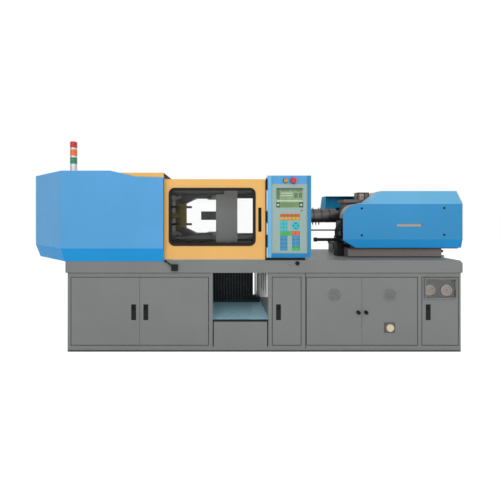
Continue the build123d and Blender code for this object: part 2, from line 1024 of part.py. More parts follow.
def pivot_ears(pivot_x, root_x, inner, outer):
    """Add the four pairs of ears that carry the toggle pins."""
    low_x, high_x = sorted((pivot_x, root_x))
    for sign in (-1, 1):
        pivot_z = axis_z + sign * toggle_offset
        for side in (-1, 1):
            low, high = sorted((side * inner, side * outer))
            block((low_x, high_x), (low, high), (pivot_z - eye_radius, pivot_z + eye_radius))
            bar_y(eye_radius, low, high, pivot_x, pivot_z)
            bar_y(pin_radius + running_gap, low, high, pivot_x, pivot_z, mode=Mode.SUBTRACT)


# Tail platen with its window for the crosshead
with BuildPart() as tail_platen:
    add(platen_block(tail_rear, tail_front))
    platen_feet(tail_rear, tail_front)
    pivot_ears(tail_pivot, tail_front, outer_plate_inner, outer_plate_outer)
    block(
        (tail_rear - overrun, tail_front + overrun),
        (-tail_window_half, tail_window_half),
        (axis_z - tail_window_height / 2, axis_z + tail_window_height / 2),
        mode=Mode.SUBTRACT,
    )
save(tail_platen.part, "tail_platen")

# Moving platen with its ears, ejector hole and mould holes, and a notch along its upper rear edge
with BuildPart() as moving_platen:
    add(platen_block(moving_rear, moving_front))
    notch_end = moving_rear + platen_notch_deep
    block(
        (moving_rear - overrun, notch_end),
        (-platen_half - overrun, platen_half + overrun),
        (axis_z + platen_notch_low, axis_z + platen_half + overrun),
        mode=Mode.SUBTRACT,
    )
    pivot_ears(platen_pivot, notch_end, rear_plate_inner, rear_plate_outer)
    bar_x(
        ejector_rod_radius + running_gap,
        moving_rear - overrun,
        moving_front + overrun,
        0,
        axis_z,
        mode=Mode.SUBTRACT,
    )
    clamp_holes(moving_front, -clamp_hole_depth)
save(moving_platen.part, "moving_platen")

# Fixed platen with the locating bore and the way for the barrel
with BuildPart() as fixed_platen:
    add(platen_block(fixed_front, fixed_rear))
    platen_feet(drop_right, fixed_rear)
    bar_x(locating_radius, fixed_front, fixed_front + locating_depth, 0, axis_z, mode=Mode.SUBTRACT)
    bar_x(
        nozzle_radius + overrun,
        fixed_front,
        fixed_front + fixed_thick / 2,
        0,
        axis_z,
        mode=Mode.SUBTRACT,
    )
    bar_x(
        barrel_way_radius,
        fixed_front + fixed_thick / 3,
        fixed_rear + overrun,
        0,
        axis_z,
        mode=Mode.SUBTRACT,
    )
    clamp_holes(fixed_front, clamp_hole_depth)
save(fixed_platen.part, "fixed_platen")

# Tie bars with a nut behind the tail platen and another behind the fixed platen
with BuildPart() as tie_bars:
    for y in (-tie_half, tie_half):
        for z in (axis_z - tie_half, axis_z + tie_half):
            bar_x(tie_radius, tail_rear - tie_overhang, fixed_rear + tie_overhang, y, z)
    for nut_start in (tail_rear - tie_nut_length, fixed_rear):
        with BuildSketch(Plane.YZ.offset(nut_start)):
            with Locations((0, axis_z)):
                with GridLocations(tie_spacing, tie_spacing, 2, 2):
                    RegularPolygon(tie_nut_radius, 6)
                    Circle(tie_radius + seat_gap, mode=Mode.SUBTRACT)
        extrude(amount=tie_nut_length)
save(tie_bars.part, "tie_bars")


def rear_link(sign):
    """Rear toggle link: two hull plates on the tail pin, the knuckle pin and the arm pin."""
    pivot_z = axis_z + sign * toggle_offset
    arm_z = axis_z + sign * arm_drop
    with BuildPart() as link:
        for start in (rear_plate_inner, -rear_plate_outer):
            with BuildSketch(Plane.XZ.offset(-start)):
                with BuildLine():
                    CenterArc((tail_pivot, pivot_z), eye_radius, 0, 360)
                    CenterArc((knuckle_x, pivot_z), eye_radius, 0, 360)
                    CenterArc((arm_x, arm_z), arm_eye, 0, 360)
                make_hull()
            extrude(amount=-link_plate)
        for pin_x in (tail_pivot, knuckle_x):
            bar_y(pin_radius, -outer_plate_outer, -rear_plate_inner, pin_x, pivot_z)
            bar_y(pin_radius, rear_plate_inner, outer_plate_outer, pin_x, pivot_z)
        bar_y(arm_pin_radius, -rear_plate_inner, rear_plate_inner, arm_x, arm_z)
    return link.part


def front_link(sign):
    """Front toggle link: two waisted plates outside the rear link, with the platen pin."""
    pivot_z = axis_z + sign * toggle_offset
    with BuildPart() as link:
        for start in (outer_plate_inner, -outer_plate_outer):
            with BuildSketch(Plane.XZ.offset(-start)):
                with Locations((knuckle_x, pivot_z), (platen_pivot, pivot_z)):
                    Circle(eye_radius)
                with Locations(((knuckle_x + platen_pivot) / 2, pivot_z)):
                    Rectangle(toggle_link, link_waist)
                with Locations((knuckle_x, pivot_z)):
                    Circle(pin_radius + running_gap, mode=Mode.SUBTRACT)
            extrude(amount=-link_plate)
        bar_y(pin_radius, -outer_plate_outer, outer_plate_outer, platen_pivot, pivot_z)
    return link.part


for name, sign in (("upper", 1), ("lower", -1)):
    save(rear_link(sign), f"{name}_rear_link")
    save(front_link(sign), f"{name}_front_link")

# Crosshead: a yoke whose upright slots hold the arm pins, on the rod of the clamp cylinder
yoke_reach = arm_pin_radius + yoke_slot_play + yoke_rim
slot_reach = arm_pin_radius + yoke_slot_play
guide_offset = arm_low - slot_reach - guide_room
yoke_height = arm_drop + yoke_reach
piston_front = tail_rear - cylinder_flange - yoke_rim
with BuildPart() as crosshead:
    block(
        (arm_x - yoke_reach, arm_x + yoke_reach),
        (-yoke_half, yoke_half),
        (axis_z - yoke_height, axis_z + yoke_height),
    )
    for sign in (-1, 1):
        low, high = sorted((sign * (arm_low - slot_reach), sign * (arm_drop + slot_reach)))
        block(
            (arm_x - slot_reach, arm_x + slot_reach),
            (-yoke_half - overrun, yoke_half + overrun),
            (axis_z + low, axis_z + high),
            mode=Mode.SUBTRACT,
        )
        bar_x(
            guide_radius + running_gap,
            arm_x - yoke_reach - overrun,
            arm_x + yoke_reach + overrun,
            0,
            axis_z + sign * guide_offset,
            mode=Mode.SUBTRACT,
        )
    bar_x(rod_radius, piston_front, arm_x - yoke_reach, 0, axis_z)
    bar_x(piston_radius, piston_front - piston_length, piston_front, 0, axis_z)
save(crosshead.part, "crosshead")

# Clamp cylinder with its flange on the back of the tail platen and the crosshead's guide rods
cylinder_rear = tail_rear - cylinder_length
with BuildPart() as clamp_cylinder:
    bar_x(piston_radius + cylinder_wall, cylinder_rear, tail_rear, 0, axis_z)
    block(
        (tail_rear - cylinder_flange, tail_rear),
        (-cylinder_flange_half, cylinder_flange_half),
        (axis_z - cylinder_flange_height / 2, axis_z + cylinder_flange_height / 2),
    )
    bar_x(
        piston_radius + running_gap,
        cylinder_rear + cylinder_wall,
        tail_rear - cylinder_flange,
        0,
        axis_z,
        mode=Mode.SUBTRACT,
    )
    bar_x(
        rod_radius + running_gap,
        tail_rear - cylinder_flange - overrun,
        tail_rear + overrun,
        0,
        axis_z,
        mode=Mode.SUBTRACT,
    )
    for sign in (-1, 1):
        bar_x(guide_radius, tail_rear, guide_end, 0, axis_z + sign * guide_offset)
save(clamp_cylinder.part, "clamp_cylinder")

# Ejector cylinder on the back of the moving platen, and its rod
ejector_rear = moving_rear - ejector_length
ejector_bore = ejector_half - guide_radius / 2
with BuildPart() as ejector_cylinder:
    block(
        (ejector_rear, moving_rear),
        (-ejector_half, ejector_half),
        (axis_z - ejector_height / 2, axis_z + ejector_height / 2),
    )
    bar_x(
        ejector_bore,
        ejector_rear + guide_radius,
        moving_rear + overrun,
        0,
        axis_z,
        mode=Mode.SUBTRACT,
    )
save(ejector_cylinder.part, "ejector_cylinder")

with BuildPart() as ejector_rod:
    bar_x(
        ejector_rod_radius,
        ejector_rear + guide_radius + overrun,
        moving_front - overrun,
        0,
        axis_z,
    )
    bar_x(
        ejector_bore - running_gap,
        ejector_rear + guide_radius + overrun,
        ejector_rear + 2 * guide_radius + overrun,
        0,
        axis_z,
    )
save(ejector_rod.part, "ejector_rod")

# Operator panel: a shell with a recess for its grey face and a boss round the stop button
panel_front = -panel_face
panel_back = panel_front + panel_depth
stop_tip = -half_depth
stop_boss = stop_tip + stop_head + stop_travel + running_gap
with BuildPart() as control_housing:
    block((panel_left, panel_right), (panel_front, panel_back), (panel_bottom, panel_top))
    fillet(control_housing.edges().filter_by(Axis.Y), panel_edge)
    block(
        (panel_left + panel_edge, panel_right - panel_edge),
        (panel_front + panel_edge, panel_back - cover_wall),
        (panel_bottom + panel_edge, panel_top - panel_edge),
        mode=Mode.SUBTRACT,
    )
    block(
        (face_left, face_right),
        (panel_front - overrun, panel_front + face_sheet),
        (face_bottom, face_top),
        mode=Mode.SUBTRACT,
    )
    bar_y(stop_neck_radius + panel_gap, stop_boss, panel_front, stop_x, stop_z)
    for hole_x in (stop_x, lamp_x):
        bar_y(
            stop_neck_radius + running_gap,
            stop_boss - overrun,
            panel_front + panel_edge + overrun,
            hole_x,
            stop_z,
            mode=Mode.SUBTRACT,
        )
save(control_housing.part, "control_housing")

# Grey face plate, screen, and membrane keys with their round jog pad
with BuildPart() as control_face:
    block(
        (face_left + seat_gap, face_right - seat_gap),
        (panel_front, panel_front + face_sheet),
        (face_bottom + seat_gap, face_top - seat_gap),
    )
save(control_face.part, "control_face")

with BuildPart() as control_display:
    block(
        (screen_left, screen_right),
        (panel_front - screen_proud, panel_front),
        (screen_bottom, screen_top),
    )
save(control_display.part, "control_display")

key_block_shares = [
    # left, right, bottom and top of each block of keys, then its columns and rows
    (0.0, 1.0, 0.93, 1.0, 5, 1),
    (0.0, 1.0, 0.84, 0.92, 5, 1),
    (0.0, 0.36, 0.54, 0.82, 2, 3),
    (0.0, 0.6, 0.42, 0.53, 3, 1),
    (0.6, 1.0, 0.42, 0.53, 2, 1),
    (0.0, 0.36, 0.0, 0.41, 2, 4),
    (0.6, 1.0, 0.0, 0.41, 2, 4),
]
key_width = key_right - key_left
key_height = key_top - key_bottom
with BuildPart() as control_keys:
    for left, right, low, high, columns, rows in key_block_shares:
        step_x = (right - left) * key_width / columns
        step_z = (high - low) * key_height / rows
        for column in range(columns):
            for row in range(rows):
                middle_x = key_left + left * key_width + (column + 0.5) * step_x
                middle_z = key_bottom + low * key_height + (row + 0.5) * step_z
                block(
                    (middle_x - key_share * step_x / 2, middle_x + key_share * step_x / 2),
                    (panel_front - key_proud, panel_front),
                    (middle_z - key_share * step_z / 2, middle_z + key_share * step_z / 2),
                )
    jog_x = key_left + jog_shares[0] * key_width
    jog_z = key_bottom + jog_shares[1] * key_height
    bar_y(jog_radius, panel_front - key_proud, panel_front, jog_x, jog_z)
save(control_keys.part, "control_keys")

# Mushroom stop button and the lit push button beside it
with BuildPart() as stop_button:
    bar_y(stop_radius, stop_tip, stop_tip + stop_head, stop_x, stop_z)
    fillet(stop_button.edges().group_by(Axis.Y)[0], stop_head / 3)
    bar_y(stop_neck_radius, stop_tip + stop_head, panel_front + panel_edge, stop_x, stop_z)
save(stop_button.part, "stop_button")

lamp_back = panel_front - lamp_travel - running_gap
with BuildPart() as start_button:
    bar_y(lamp_radius, lamp_back - lamp_head, lamp_back, lamp_x, stop_z)
    bar_y(stop_neck_radius, lamp_back, panel_front + panel_edge, lamp_x, stop_z)
save(start_button.part, "start_button")

# Bracket that stands on the beam and carries the operator panel
with BuildPart() as control_bracket:
    block((bracket_left, bracket_right), (-beam_half, panel_back), (beam_top, panel_bottom))
save(control_bracket.part, "control_bracket")

# Injection bed: a trough on the beam that the carriage slides on
with BuildPart() as injection_bed:
    block((bed_left, bed_right), (-bed_half, bed_half), (beam_top, bed_top))
    block(
        (bed_left - overrun, bed_right + overrun),
        (-bed_trough_half, bed_trough_half),
        (bed_top - bed_trough_deep, bed_top + overrun),
        mode=Mode.SUBTRACT,
    )
save(injection_bed.part, "injection_bed")

# Guide bar of the carriage with its head, and the post that holds it
bar_head_end = carriage_bar_start + bar_head_length
with BuildPart() as carriage_guides:
    block((support_left, support_right), (-support_near, -support_far), (beam_top, support_top))
    bar_x(carriage_bar_radius, carriage_bar_start, support_left, -carriage_bar_y, carriage_bar_z)
    bar_x(bar_head_radius, carriage_bar_start, bar_head_end, -carriage_bar_y, carriage_bar_z)
save(carriage_guides.part, "carriage_guides")

# Carriage: slide plate, barrel housing, injection cylinders, hose manifold and trip rod
slide_low = bed_top + running_gap
slide_top = slide_low + slide_plate
cover_foot_half = inject_half - inject_lower_in - inject_wall
with BuildPart() as carriage:
    block((slide_left, slide_right), (-cover_foot_half, cover_foot_half), (slide_low, slide_top))
    block((housing_left, housing_right), (-housing_half, housing_half), (slide_top, housing_top))
    block(
        (manifold_left, manifold_right),
        (-manifold_far, -manifold_near),
        (slide_top, manifold_top),
    )
    for side in (-1, 1):
        bar_x(
            inject_cylinder_radius,
            housing_right,
            inject_cylinder_end,
            side * cylinder_y,
            axis_z,
        )
        bar_x(
            inject_rod_radius + running_gap,
            housing_right,
            inject_cylinder_end + overrun,
            side * cylinder_y,
            axis_z,
            mode=Mode.SUBTRACT,
        )
    bar_x(
        barrel_radius + seat_gap,
        housing_left - overrun,
        housing_right + overrun,
        0,
        axis_z,
        mode=Mode.SUBTRACT,
    )
    bar_z(feed_radius, axis_z, housing_top + overrun, throat_x, 0, mode=Mode.SUBTRACT)
    bar_x(trip_rod_radius, trip_rod_start, housing_left, -carriage_bar_y, trip_rod_z)
save(carriage.part, "carriage")

# Barrel with its nozzle, screw bore and feed hole
nozzle_end = nozzle_tip + nozzle_length
cone_length = nozzle_length / 2
with BuildPart() as barrel:
    bar_x(barrel_radius, nozzle_end, housing_right, 0, axis_z)
    bar_x(nozzle_radius, nozzle_tip + cone_length, nozzle_end, 0, axis_z)
    with Locations((nozzle_tip + cone_length / 2, 0, axis_z)):
        Cone(nozzle_tip_radius, nozzle_radius, cone_length, rotation=(0, 90, 0))
    bar_x(
        screw_radius + screw_gap,
        screw_tip - overrun,
        housing_right + overrun,
        0,
        axis_z,
        mode=Mode.SUBTRACT,
    )
    bar_x(nozzle_tip_radius / 2, nozzle_tip - overrun, screw_tip, 0, axis_z, mode=Mode.SUBTRACT)
    bar_z(feed_radius, axis_z, axis_z + barrel_radius + overrun, throat_x, 0, mode=Mode.SUBTRACT)
save(barrel.part, "barrel")

# Heater bands round the barrel
with BuildPart() as heater_bands:
    for band in range(band_count):
        start = band_start + band * band_length
        bar_x(band_radius, start, start + band_length * band_share, 0, axis_z)
    bar_x(
        barrel_radius + seat_gap,
        band_start - overrun,
        band_start + band_count * band_length,
        0,
        axis_z,
        mode=Mode.SUBTRACT,
    )
save(heater_bands.part, "heater_bands")

# Screw: a plain shaft with its pointed tip
with BuildPart() as screw:
    bar_x(screw_radius, screw_tip + screw_radius, screw_end, 0, axis_z)
    with Locations((screw_tip + screw_radius / 2, 0, axis_z)):
        Cone(nozzle_tip_radius / 2, screw_radius, screw_radius, rotation=(0, 90, 0))
save(screw.part, "screw")

# Ram: the thrust block with its two rods and the drive motor behind it
with BuildPart() as ram:
    block((ram_left, ram_right), (-ram_half, ram_half), (slide_top + running_gap, ram_top))
    bar_x(drive_radius, ram_right, ram_right + drive_length, 0, axis_z)
    for side in (-1, 1):
        bar_x(inject_rod_radius, inject_rod_end, ram_left, side * cylinder_y, axis_z)
    bar_x(
        screw_radius + screw_gap,
        ram_left - overrun,
        screw_end + running_gap,
        0,
        axis_z,
        mode=Mode.SUBTRACT,
    )
save(ram.part, "ram")

# Hopper seat: throat block and flange plate with its four bolt holes, and the gate box
hopper_plate_low = hopper_plate_top - hopper_plate_thick
with BuildPart() as hopper_seat:
    block(
        (throat_x - throat_half, throat_x + throat_half),
        (-throat_half, throat_half),
        (housing_top, hopper_plate_low),
    )
    block(
        (hopper_plate_left, hopper_plate_right),
        (-hopper_plate_half, hopper_plate_half),
        (hopper_plate_low, hopper_plate_top),
    )
    block(
        (gate_left, gate_right),
        (-gate_half, gate_half),
        (hopper_plate_top, hopper_plate_top + gate_height),
    )
    bar_z(
        throat_radius,
        housing_top - overrun,
        hopper_plate_top + overrun,
        throat_x,
        0,
        mode=Mode.SUBTRACT,
    )
    for x in (throat_x - hopper_hole_x / 2, throat_x + hopper_hole_x / 2):
        for y in (-hopper_hole_y / 2, hopper_hole_y / 2):
            bar_z(
                hopper_hole_radius,
                hopper_plate_low - overrun,
                hopper_plate_top + overrun,
                x,
                y,
                mode=Mode.SUBTRACT,
            )
save(hopper_seat.part, "hopper_seat")


def inject_form(side, wall):
    """Half of the injection cover, filled and inset by a wall: stepped in front, hooded at the rear."""
    low_y, high_y = sorted((side * (inject_half + overrun), -side * wall))
    with BuildPart() as form:
        with BuildSketch(Plane.XZ.offset(-low_y)):
            with BuildLine():
                Polyline(
                    (inject_right_slope, inject_top),
                    (half_length, inject_right_crease),
                    (half_length, inject_bottom),
                )
                if side < 0:
                    Polyline(
                        (half_length, inject_bottom),
                        (inject_foot_left, inject_bottom),
                        (inject_left, inject_foot_z),
                        (inject_left, inject_left_top),
                    )
                    ThreePointArc(
                        (inject_left, inject_left_top),
                        (
                            inject_left + (inject_shoulder - inject_left) * inject_bulge_share,
                            inject_shoulder_z
                            - (inject_shoulder_z - inject_left_top) * inject_bulge_share,
                        ),
                        (inject_shoulder, inject_shoulder_z),
                    )
                    Polyline(
                        (inject_shoulder, inject_shoulder_z),
                        (inject_step, inject_step_z),
                        (inject_slope_top, inject_top),
                        (inject_right_slope, inject_top),
                    )
                else:
                    Polyline(
                        (half_length, inject_bottom),
                        (hood_foot_left, inject_bottom),
                        (hood_foot_left, hood_bottom),
                        (inject_left, hood_bottom),
                        (inject_left, hood_top),
                        (hood_rise_start, hood_top),
                        (inject_slope_top, inject_top),
                        (inject_right_slope, inject_top),
                    )
            make_face()
            offset(amount=-wall, kind=Kind.INTERSECTION)
        extrude(amount=-(high_y - low_y))
        with BuildSketch(Plane.YZ.offset(inject_left - overrun)):
            with BuildLine():
                Polyline(
                    (-side * (wall + overrun), inject_bottom - overrun),
                    (side * (inject_half - inject_lower_in - wall), inject_bottom - overrun),
                    (side * (inject_half - inject_lower_in - wall), inject_bottom),
                    (side * (inject_half - wall), inject_lower_crease),
                    (side * (inject_half - wall), inject_upper_crease),
                    (side * (inject_half - inject_upper_in - wall), inject_top),
                    (-side * (wall + overrun), inject_top),
                    close=True,
                )
            make_face()
        extrude(amount=half_length - inject_left + 2 * overrun, mode=Mode.INTERSECT)
    return form.part


# Injection covers: front and rear shells on the carriage, open below and round the hopper seat
for name, side in (("injection_cover_front", -1), ("injection_cover_rear", 1)):
    with BuildPart() as injection_cover:
        add(inject_form(side, 0))
        add(inject_form(side, inject_wall), mode=Mode.SUBTRACT)
        block(
            (slide_left - overrun, half_length - inject_wall),
            (-cover_foot_half, cover_foot_half),
            (inject_bottom - overrun, slide_top + overrun),
            mode=Mode.SUBTRACT,
        )
        block(
            (inject_left - overrun, inject_foot_left),
            (-manifold_far - manifold_room, manifold_far + manifold_room),
            (inject_bottom - overrun, inject_foot_z),
            mode=Mode.SUBTRACT,
        )
        block(
            (inject_left - overrun, inject_open_right),
            (-inject_open_half, inject_open_half),
            (inject_bottom - overrun, inject_top + overrun),
            mode=Mode.SUBTRACT,
        )
        block(
            (inject_left - overrun, housing_left),
            (-manifold_far - manifold_room, manifold_far + manifold_room),
            (inject_bottom - overrun, inject_left_top),
            mode=Mode.SUBTRACT,
        )
        grip_y = sorted((side * (inject_half - inject_wall - overrun), side * (inject_half + overrun)))
        block(
            (inject_grip_left, inject_grip_right),
            grip_y,
            (inject_grip_bottom, inject_grip_top),
            mode=Mode.SUBTRACT,
        )
    save(injection_cover.part, name)

# Carriage hoses: two loops that leave the manifold low down and come back into it higher up
with BuildPart() as carriage_hoses:
    for share in hose_place_shares:
        hose_y = -manifold_near - share * (manifold_far - manifold_near)
        rise = hose_high_z - hose_low_z
        with BuildLine(Plane.XZ.offset(-hose_y)) as hose_path:
            FilletPolyline(
                (manifold_left, hose_low_z),
                (manifold_left - hose_reach * hose_knee_share, hose_low_z),
                (manifold_left - hose_reach, hose_low_z + rise / 3),
                (manifold_left - hose_reach, hose_high_z - rise / 3),
                (manifold_left - hose_reach * hose_knee_share, hose_high_z),
                (manifold_left, hose_high_z),
                radius=hose_bend,
            )
        with BuildSketch(Plane(hose_path.line @ 0, z_dir=hose_path.line % 0)):
            Circle(hose_radius)
        sweep(path=hose_path.line)
save(carriage_hoses.part, "carriage_hoses")
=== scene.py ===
"""Looks of an injection moulding machine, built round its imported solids.

Metres, in the frame of the solids: +X to the injection end, the operator side faces -Y, +Z up.
"""

import json
from collections import defaultdict
from contextlib import contextmanager
from math import cos, pi, radians, sin

import bmesh
import bpy
from bpy.props import FloatProperty, FloatVectorProperty, PointerProperty
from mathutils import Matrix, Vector


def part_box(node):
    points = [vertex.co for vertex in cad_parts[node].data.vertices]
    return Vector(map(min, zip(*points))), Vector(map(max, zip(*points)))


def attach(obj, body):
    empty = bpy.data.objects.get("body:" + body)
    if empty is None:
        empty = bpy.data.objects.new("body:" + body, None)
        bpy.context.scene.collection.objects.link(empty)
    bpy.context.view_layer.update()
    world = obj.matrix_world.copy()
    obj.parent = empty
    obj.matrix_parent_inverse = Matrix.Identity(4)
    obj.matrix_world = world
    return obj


bl_info = {
    "name": "Injection moulding machine",
    "version": (1, 0, 0),
    "blender": (4, 5, 0),
    "location": "View3D > Sidebar > Moulding machine",
    "description": "Finishes and small fittings of an injection moulding machine",
    "category": "Object",
}

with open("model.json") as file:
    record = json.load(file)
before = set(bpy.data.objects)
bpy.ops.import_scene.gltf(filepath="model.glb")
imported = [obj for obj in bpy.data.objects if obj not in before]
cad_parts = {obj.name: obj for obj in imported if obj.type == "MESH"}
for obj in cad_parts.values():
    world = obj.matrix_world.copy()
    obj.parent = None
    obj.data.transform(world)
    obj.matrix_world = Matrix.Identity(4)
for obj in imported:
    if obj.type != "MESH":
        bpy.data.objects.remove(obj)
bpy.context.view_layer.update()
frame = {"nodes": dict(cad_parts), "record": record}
MM = 0.001
X_AXIS, Y_AXIS, Z_AXIS, TO_FRONT = (1, 0, 0), (0, 1, 0), (0, 0, 1), (0, -1, 0)
WHITE = (1, 1, 1)


def mm(*lengths):
    """Lengths given in millimetres, in metres."""
    return [length * MM for length in lengths]


def stepped(radius, *pairs):
    """The radius and reach of a turned form, from millimetres outside a radius and millimetres of reach."""
    return [(radius + out * MM, reach * MM) for out, reach in pairs]


def screen_colour(red, green, blue):
    """A colour written as screen values from 0 to 255, in the linear values that shaders take."""
    shares = [value / 255 for value in (red, green, blue)]
    return tuple(s / 12.92 if s <= 0.04045 else ((s + 0.055) / 1.055) ** 2.4 for s in shares)


def colour_property(name, description, colour):
    """A colour that a user may change."""
    return FloatVectorProperty(
        name=name,
        description=description,
        subtype="COLOR",
        size=3,
        min=0,
        max=1,
        default=screen_colour(*colour),
    )


def length_property(name, description, millimetres):
    """A length that a user may change."""
    return FloatProperty(name=name, description=description, unit="LENGTH", default=millimetres * MM)


class MachineColours(bpy.types.PropertyGroup):
    """Colours of the machine's finishes."""

    base_grey: colour_property("Base grey", "Paint of the base cabinet", (134, 137, 135))
    cover_blue: colour_property("Cover blue", "Paint of the clamp covers and the panel", (93, 170, 226))
    # painted light: a paler blue for the lit top of the injection covers
    crown_blue: colour_property("Crown blue", "Paler paint of the injection covers' top", (112, 186, 228))
    inject_blue: colour_property("Injection blue", "Paint of the injection covers' sides", (60, 150, 206))
    # painted shade: a deeper blue for the shaded lower bevels of the covers
    bevel_blue: colour_property("Bevel blue", "Deeper paint along the covers' lower bevel", (34, 158, 230))
    guard_yellow: colour_property("Guard yellow", "Paint of the safety doors and roof", (246, 191, 110))
    trim_black: colour_property("Trim black", "Rubber edges, grips and brackets", (14, 13, 13))
    platen_grey: colour_property("Platen grey", "Paint of the platens", (112, 114, 114))
    steel: colour_property("Steel", "Bare ground steel", (176, 178, 180))
    chute: colour_property("Chute", "Galvanised sheet of the chute", (174, 222, 238))
    face_grey: colour_property("Face grey", "Face of the operator panel", (162, 187, 181))
    screen: colour_property("Screen", "Ground of the display", (142, 168, 132))
    screen_dark: colour_property("Screen dark", "Dark fields of the display", (62, 84, 58))
    heater: colour_property("Heater", "Sleeves of the heater bands", (96, 94, 92))
    gauge_cream: colour_property("Gauge cream", "The oil cap", (232, 216, 178))


class MachineSizes(bpy.types.PropertyGroup):
    """Sizes of the small fittings."""

    edge: length_property("Edge", "Gap and rounding of the cabinet doors' grips", 1.5)
    bezel: length_property("Bezel", "Width of the frame round the gauge window", 9.0)
    bolt: length_property("Bolt", "Radius of a cover bolt's head", 9.0)


def sizes():
    """The sizes in use."""
    return bpy.context.scene.machine_sizes


def colour_of(source):
    """The colour in use under a name, or one from screen values."""
    if isinstance(source, str):
        return getattr(bpy.context.scene.machine_colours, source)
    return screen_colour(*source)


def feed(tree, socket, value):
    """Link an input to an output, or set it to a number or a colour."""
    if isinstance(value, bpy.types.NodeSocket):
        tree.links.new(value, socket)
    elif socket.type == "RGBA":
        socket.default_value = (*value[:3], 1)
    else:
        socket.default_value = value


def add_node(tree, kind, inputs, **settings):
    """A new node with its settings, and its inputs linked or set."""
    node = tree.nodes.new(f"ShaderNode{kind}")
    for name, value in settings.items():
        setattr(node, name, value)
    for name, value in inputs.items():
        feed(tree, node.inputs[name], value)
    return node


def make_finish(name, maker, *values):
    """A new material, with its shader's inputs as a maker gives them from the place on the part."""
    material = bpy.data.materials.new(name)
    material.use_nodes = True
    tree = material.node_tree
    place = add_node(tree, "TexCoord", {}).outputs["Object"]
    for key, value in maker(tree, place, *values).items():
        feed(tree, tree.nodes["Principled BSDF"].inputs[key], value)
    return material


def noise(tree, place, scale, detail=3.0):
    """A grey noise over the surface."""
    inputs = {"Vector": place, "Scale": scale, "Detail": detail}
    return add_node(tree, "TexNoise", inputs).outputs["Fac"]


def wave(tree, place, direction, scale, distortion=0.0):
    """Even bands across one axis."""
    inputs = {"Vector": place, "Scale": scale, "Distortion": distortion}
    return add_node(tree, "TexWave", inputs, bands_direction=direction).outputs["Fac"]


def to_range(tree, value, low, high, from_low=0.3, from_high=0.7):
    """A value spread over another range."""
    inputs = {"Value": value, "From Min": from_low, "From Max": from_high, "To Min": low, "To Max": high}
    return add_node(tree, "MapRange", inputs).outputs["Result"]


def along_axis(tree, vector, axis):
    """One coordinate of a vector."""
    return add_node(tree, "SeparateXYZ", {"Vector": vector}).outputs[axis]


def combined(tree, operation, first, second):
    """Two values, each given or linked, brought together by an operation."""
    return add_node(tree, "Math", {0: first, 1: second}, operation=operation).outputs[0]


def mixed(tree, share, first, second):
    """Two colours, each given or linked, mixed by a linked share."""
    return add_node(tree, "Mix", {0: share, 6: first, 7: second}, data_type="RGBA").outputs[2]


def shaded(colour, share):
    """A colour made lighter or darker by a share."""
    return tuple(min(1, value * share) for value in colour)


def two_tone(tree, share, source, dark, light):
    """A colour that goes from its darker to its lighter tone with a linked share."""
    colour = colour_of(source)
    return mixed(tree, share, shaded(colour, dark), shaded(colour, light))


def bumped(tree, height, strength, distance, surface=None):
    """The surface direction with a bump from a height, over a given direction."""
    inputs = {"Height": height, "Strength": strength, "Distance": distance}
    if surface:
        inputs["Normal"] = surface
    return add_node(tree, "Bump", inputs).outputs["Normal"]


EDGE_RADIUS, EDGE_SAMPLES, EDGE_TURN = 3 * MM, 4, (0.75, 0.99)
PAINT_TONES, PAINT_SHINE, COAT_ROUGHNESS, BAND_BLEND = (0.965, 1.03), 0.15, 0.18, 2 * MM
# pale patches along the edges: partly scuffed paint, partly a painted highlight on the edges
SCUFF_AND_SHEEN_COLOUR, SCUFF_AND_SHEEN_SHARE, SCUFF_AND_SHEEN_FROM = screen_colour(196, 198, 200), (0.1, 0.8), (0.42, 0.66)


def rounded_edges(tree):
    """The surface direction with its edges rounded, and a share that is one along those edges."""
    rounding = add_node(tree, "Bevel", {"Radius": EDGE_RADIUS}, samples=EDGE_SAMPLES).outputs["Normal"]
    flat = add_node(tree, "NewGeometry", {}).outputs["Normal"]
    alike = add_node(tree, "VectorMath", {0: rounding, 1: flat}, operation="DOT_PRODUCT")
    return rounding, to_range(tree, alike.outputs["Value"], 1, 0, *EDGE_TURN)


def paint_finish(tree, place, colour, roughness, peel, coat, bands=()):
    """Sprayed paint: faint clouds, orange peel, edges lightened in patches as partly wear and partly a
    painted highlight, and other tones below some heights as painted light and shade.
    """
    surface, edges = rounded_edges(tree)
    cloud = to_range(tree, noise(tree, place, scale=2.2), 0, 1)
    body = two_tone(tree, cloud, colour, *PAINT_TONES)
    # painted light and shade: another tone of the paint below each height
    for top, other, share in bands:
        below = to_range(tree, along_axis(tree, place, "Z"), 1, 0, top - BAND_BLEND, top + BAND_BLEND)
        body = mixed(tree, below, body, two_tone(tree, cloud, other, *(share * tone for tone in PAINT_TONES)))
    wear, peeled = noise(tree, place, scale=14, detail=6), noise(tree, place, scale=420, detail=2)
    # pale patches on the edges, partly wear and partly a painted highlight
    scuffs_and_sheen = combined(tree, "MULTIPLY", edges, to_range(tree, wear, *SCUFF_AND_SHEEN_SHARE, *SCUFF_AND_SHEEN_FROM))
    return {
        "Base Color": mixed(tree, scuffs_and_sheen, body, SCUFF_AND_SHEEN_COLOUR),
        "Roughness": to_range(tree, wear, roughness - 0.05, roughness + 0.07),
        "Normal": bumped(tree, peeled, strength=peel, distance=0.6 * MM, surface=surface),
        "Specular IOR Level": PAINT_SHINE,
        "Coat Weight": coat,
        "Coat Roughness": COAT_ROUGHNESS,
    }


def steel_finish(tree, place, colour, roughness, grain):
    """Ground steel with fine lines along the axes that stretch the grain least."""
    stretched = add_node(tree, "Mapping", {"Vector": place, "Scale": grain}).outputs["Vector"]
    lines = noise(tree, stretched, scale=6, detail=4)
    return {
        "Base Color": two_tone(tree, to_range(tree, lines, 0, 1), colour, dark=0.82, light=1.08),
        "Roughness": to_range(tree, lines, roughness - 0.08, roughness + 0.12),
        "Normal": bumped(tree, lines, strength=0.12, distance=0.4 * MM),
        "Metallic": 0.9,
    }


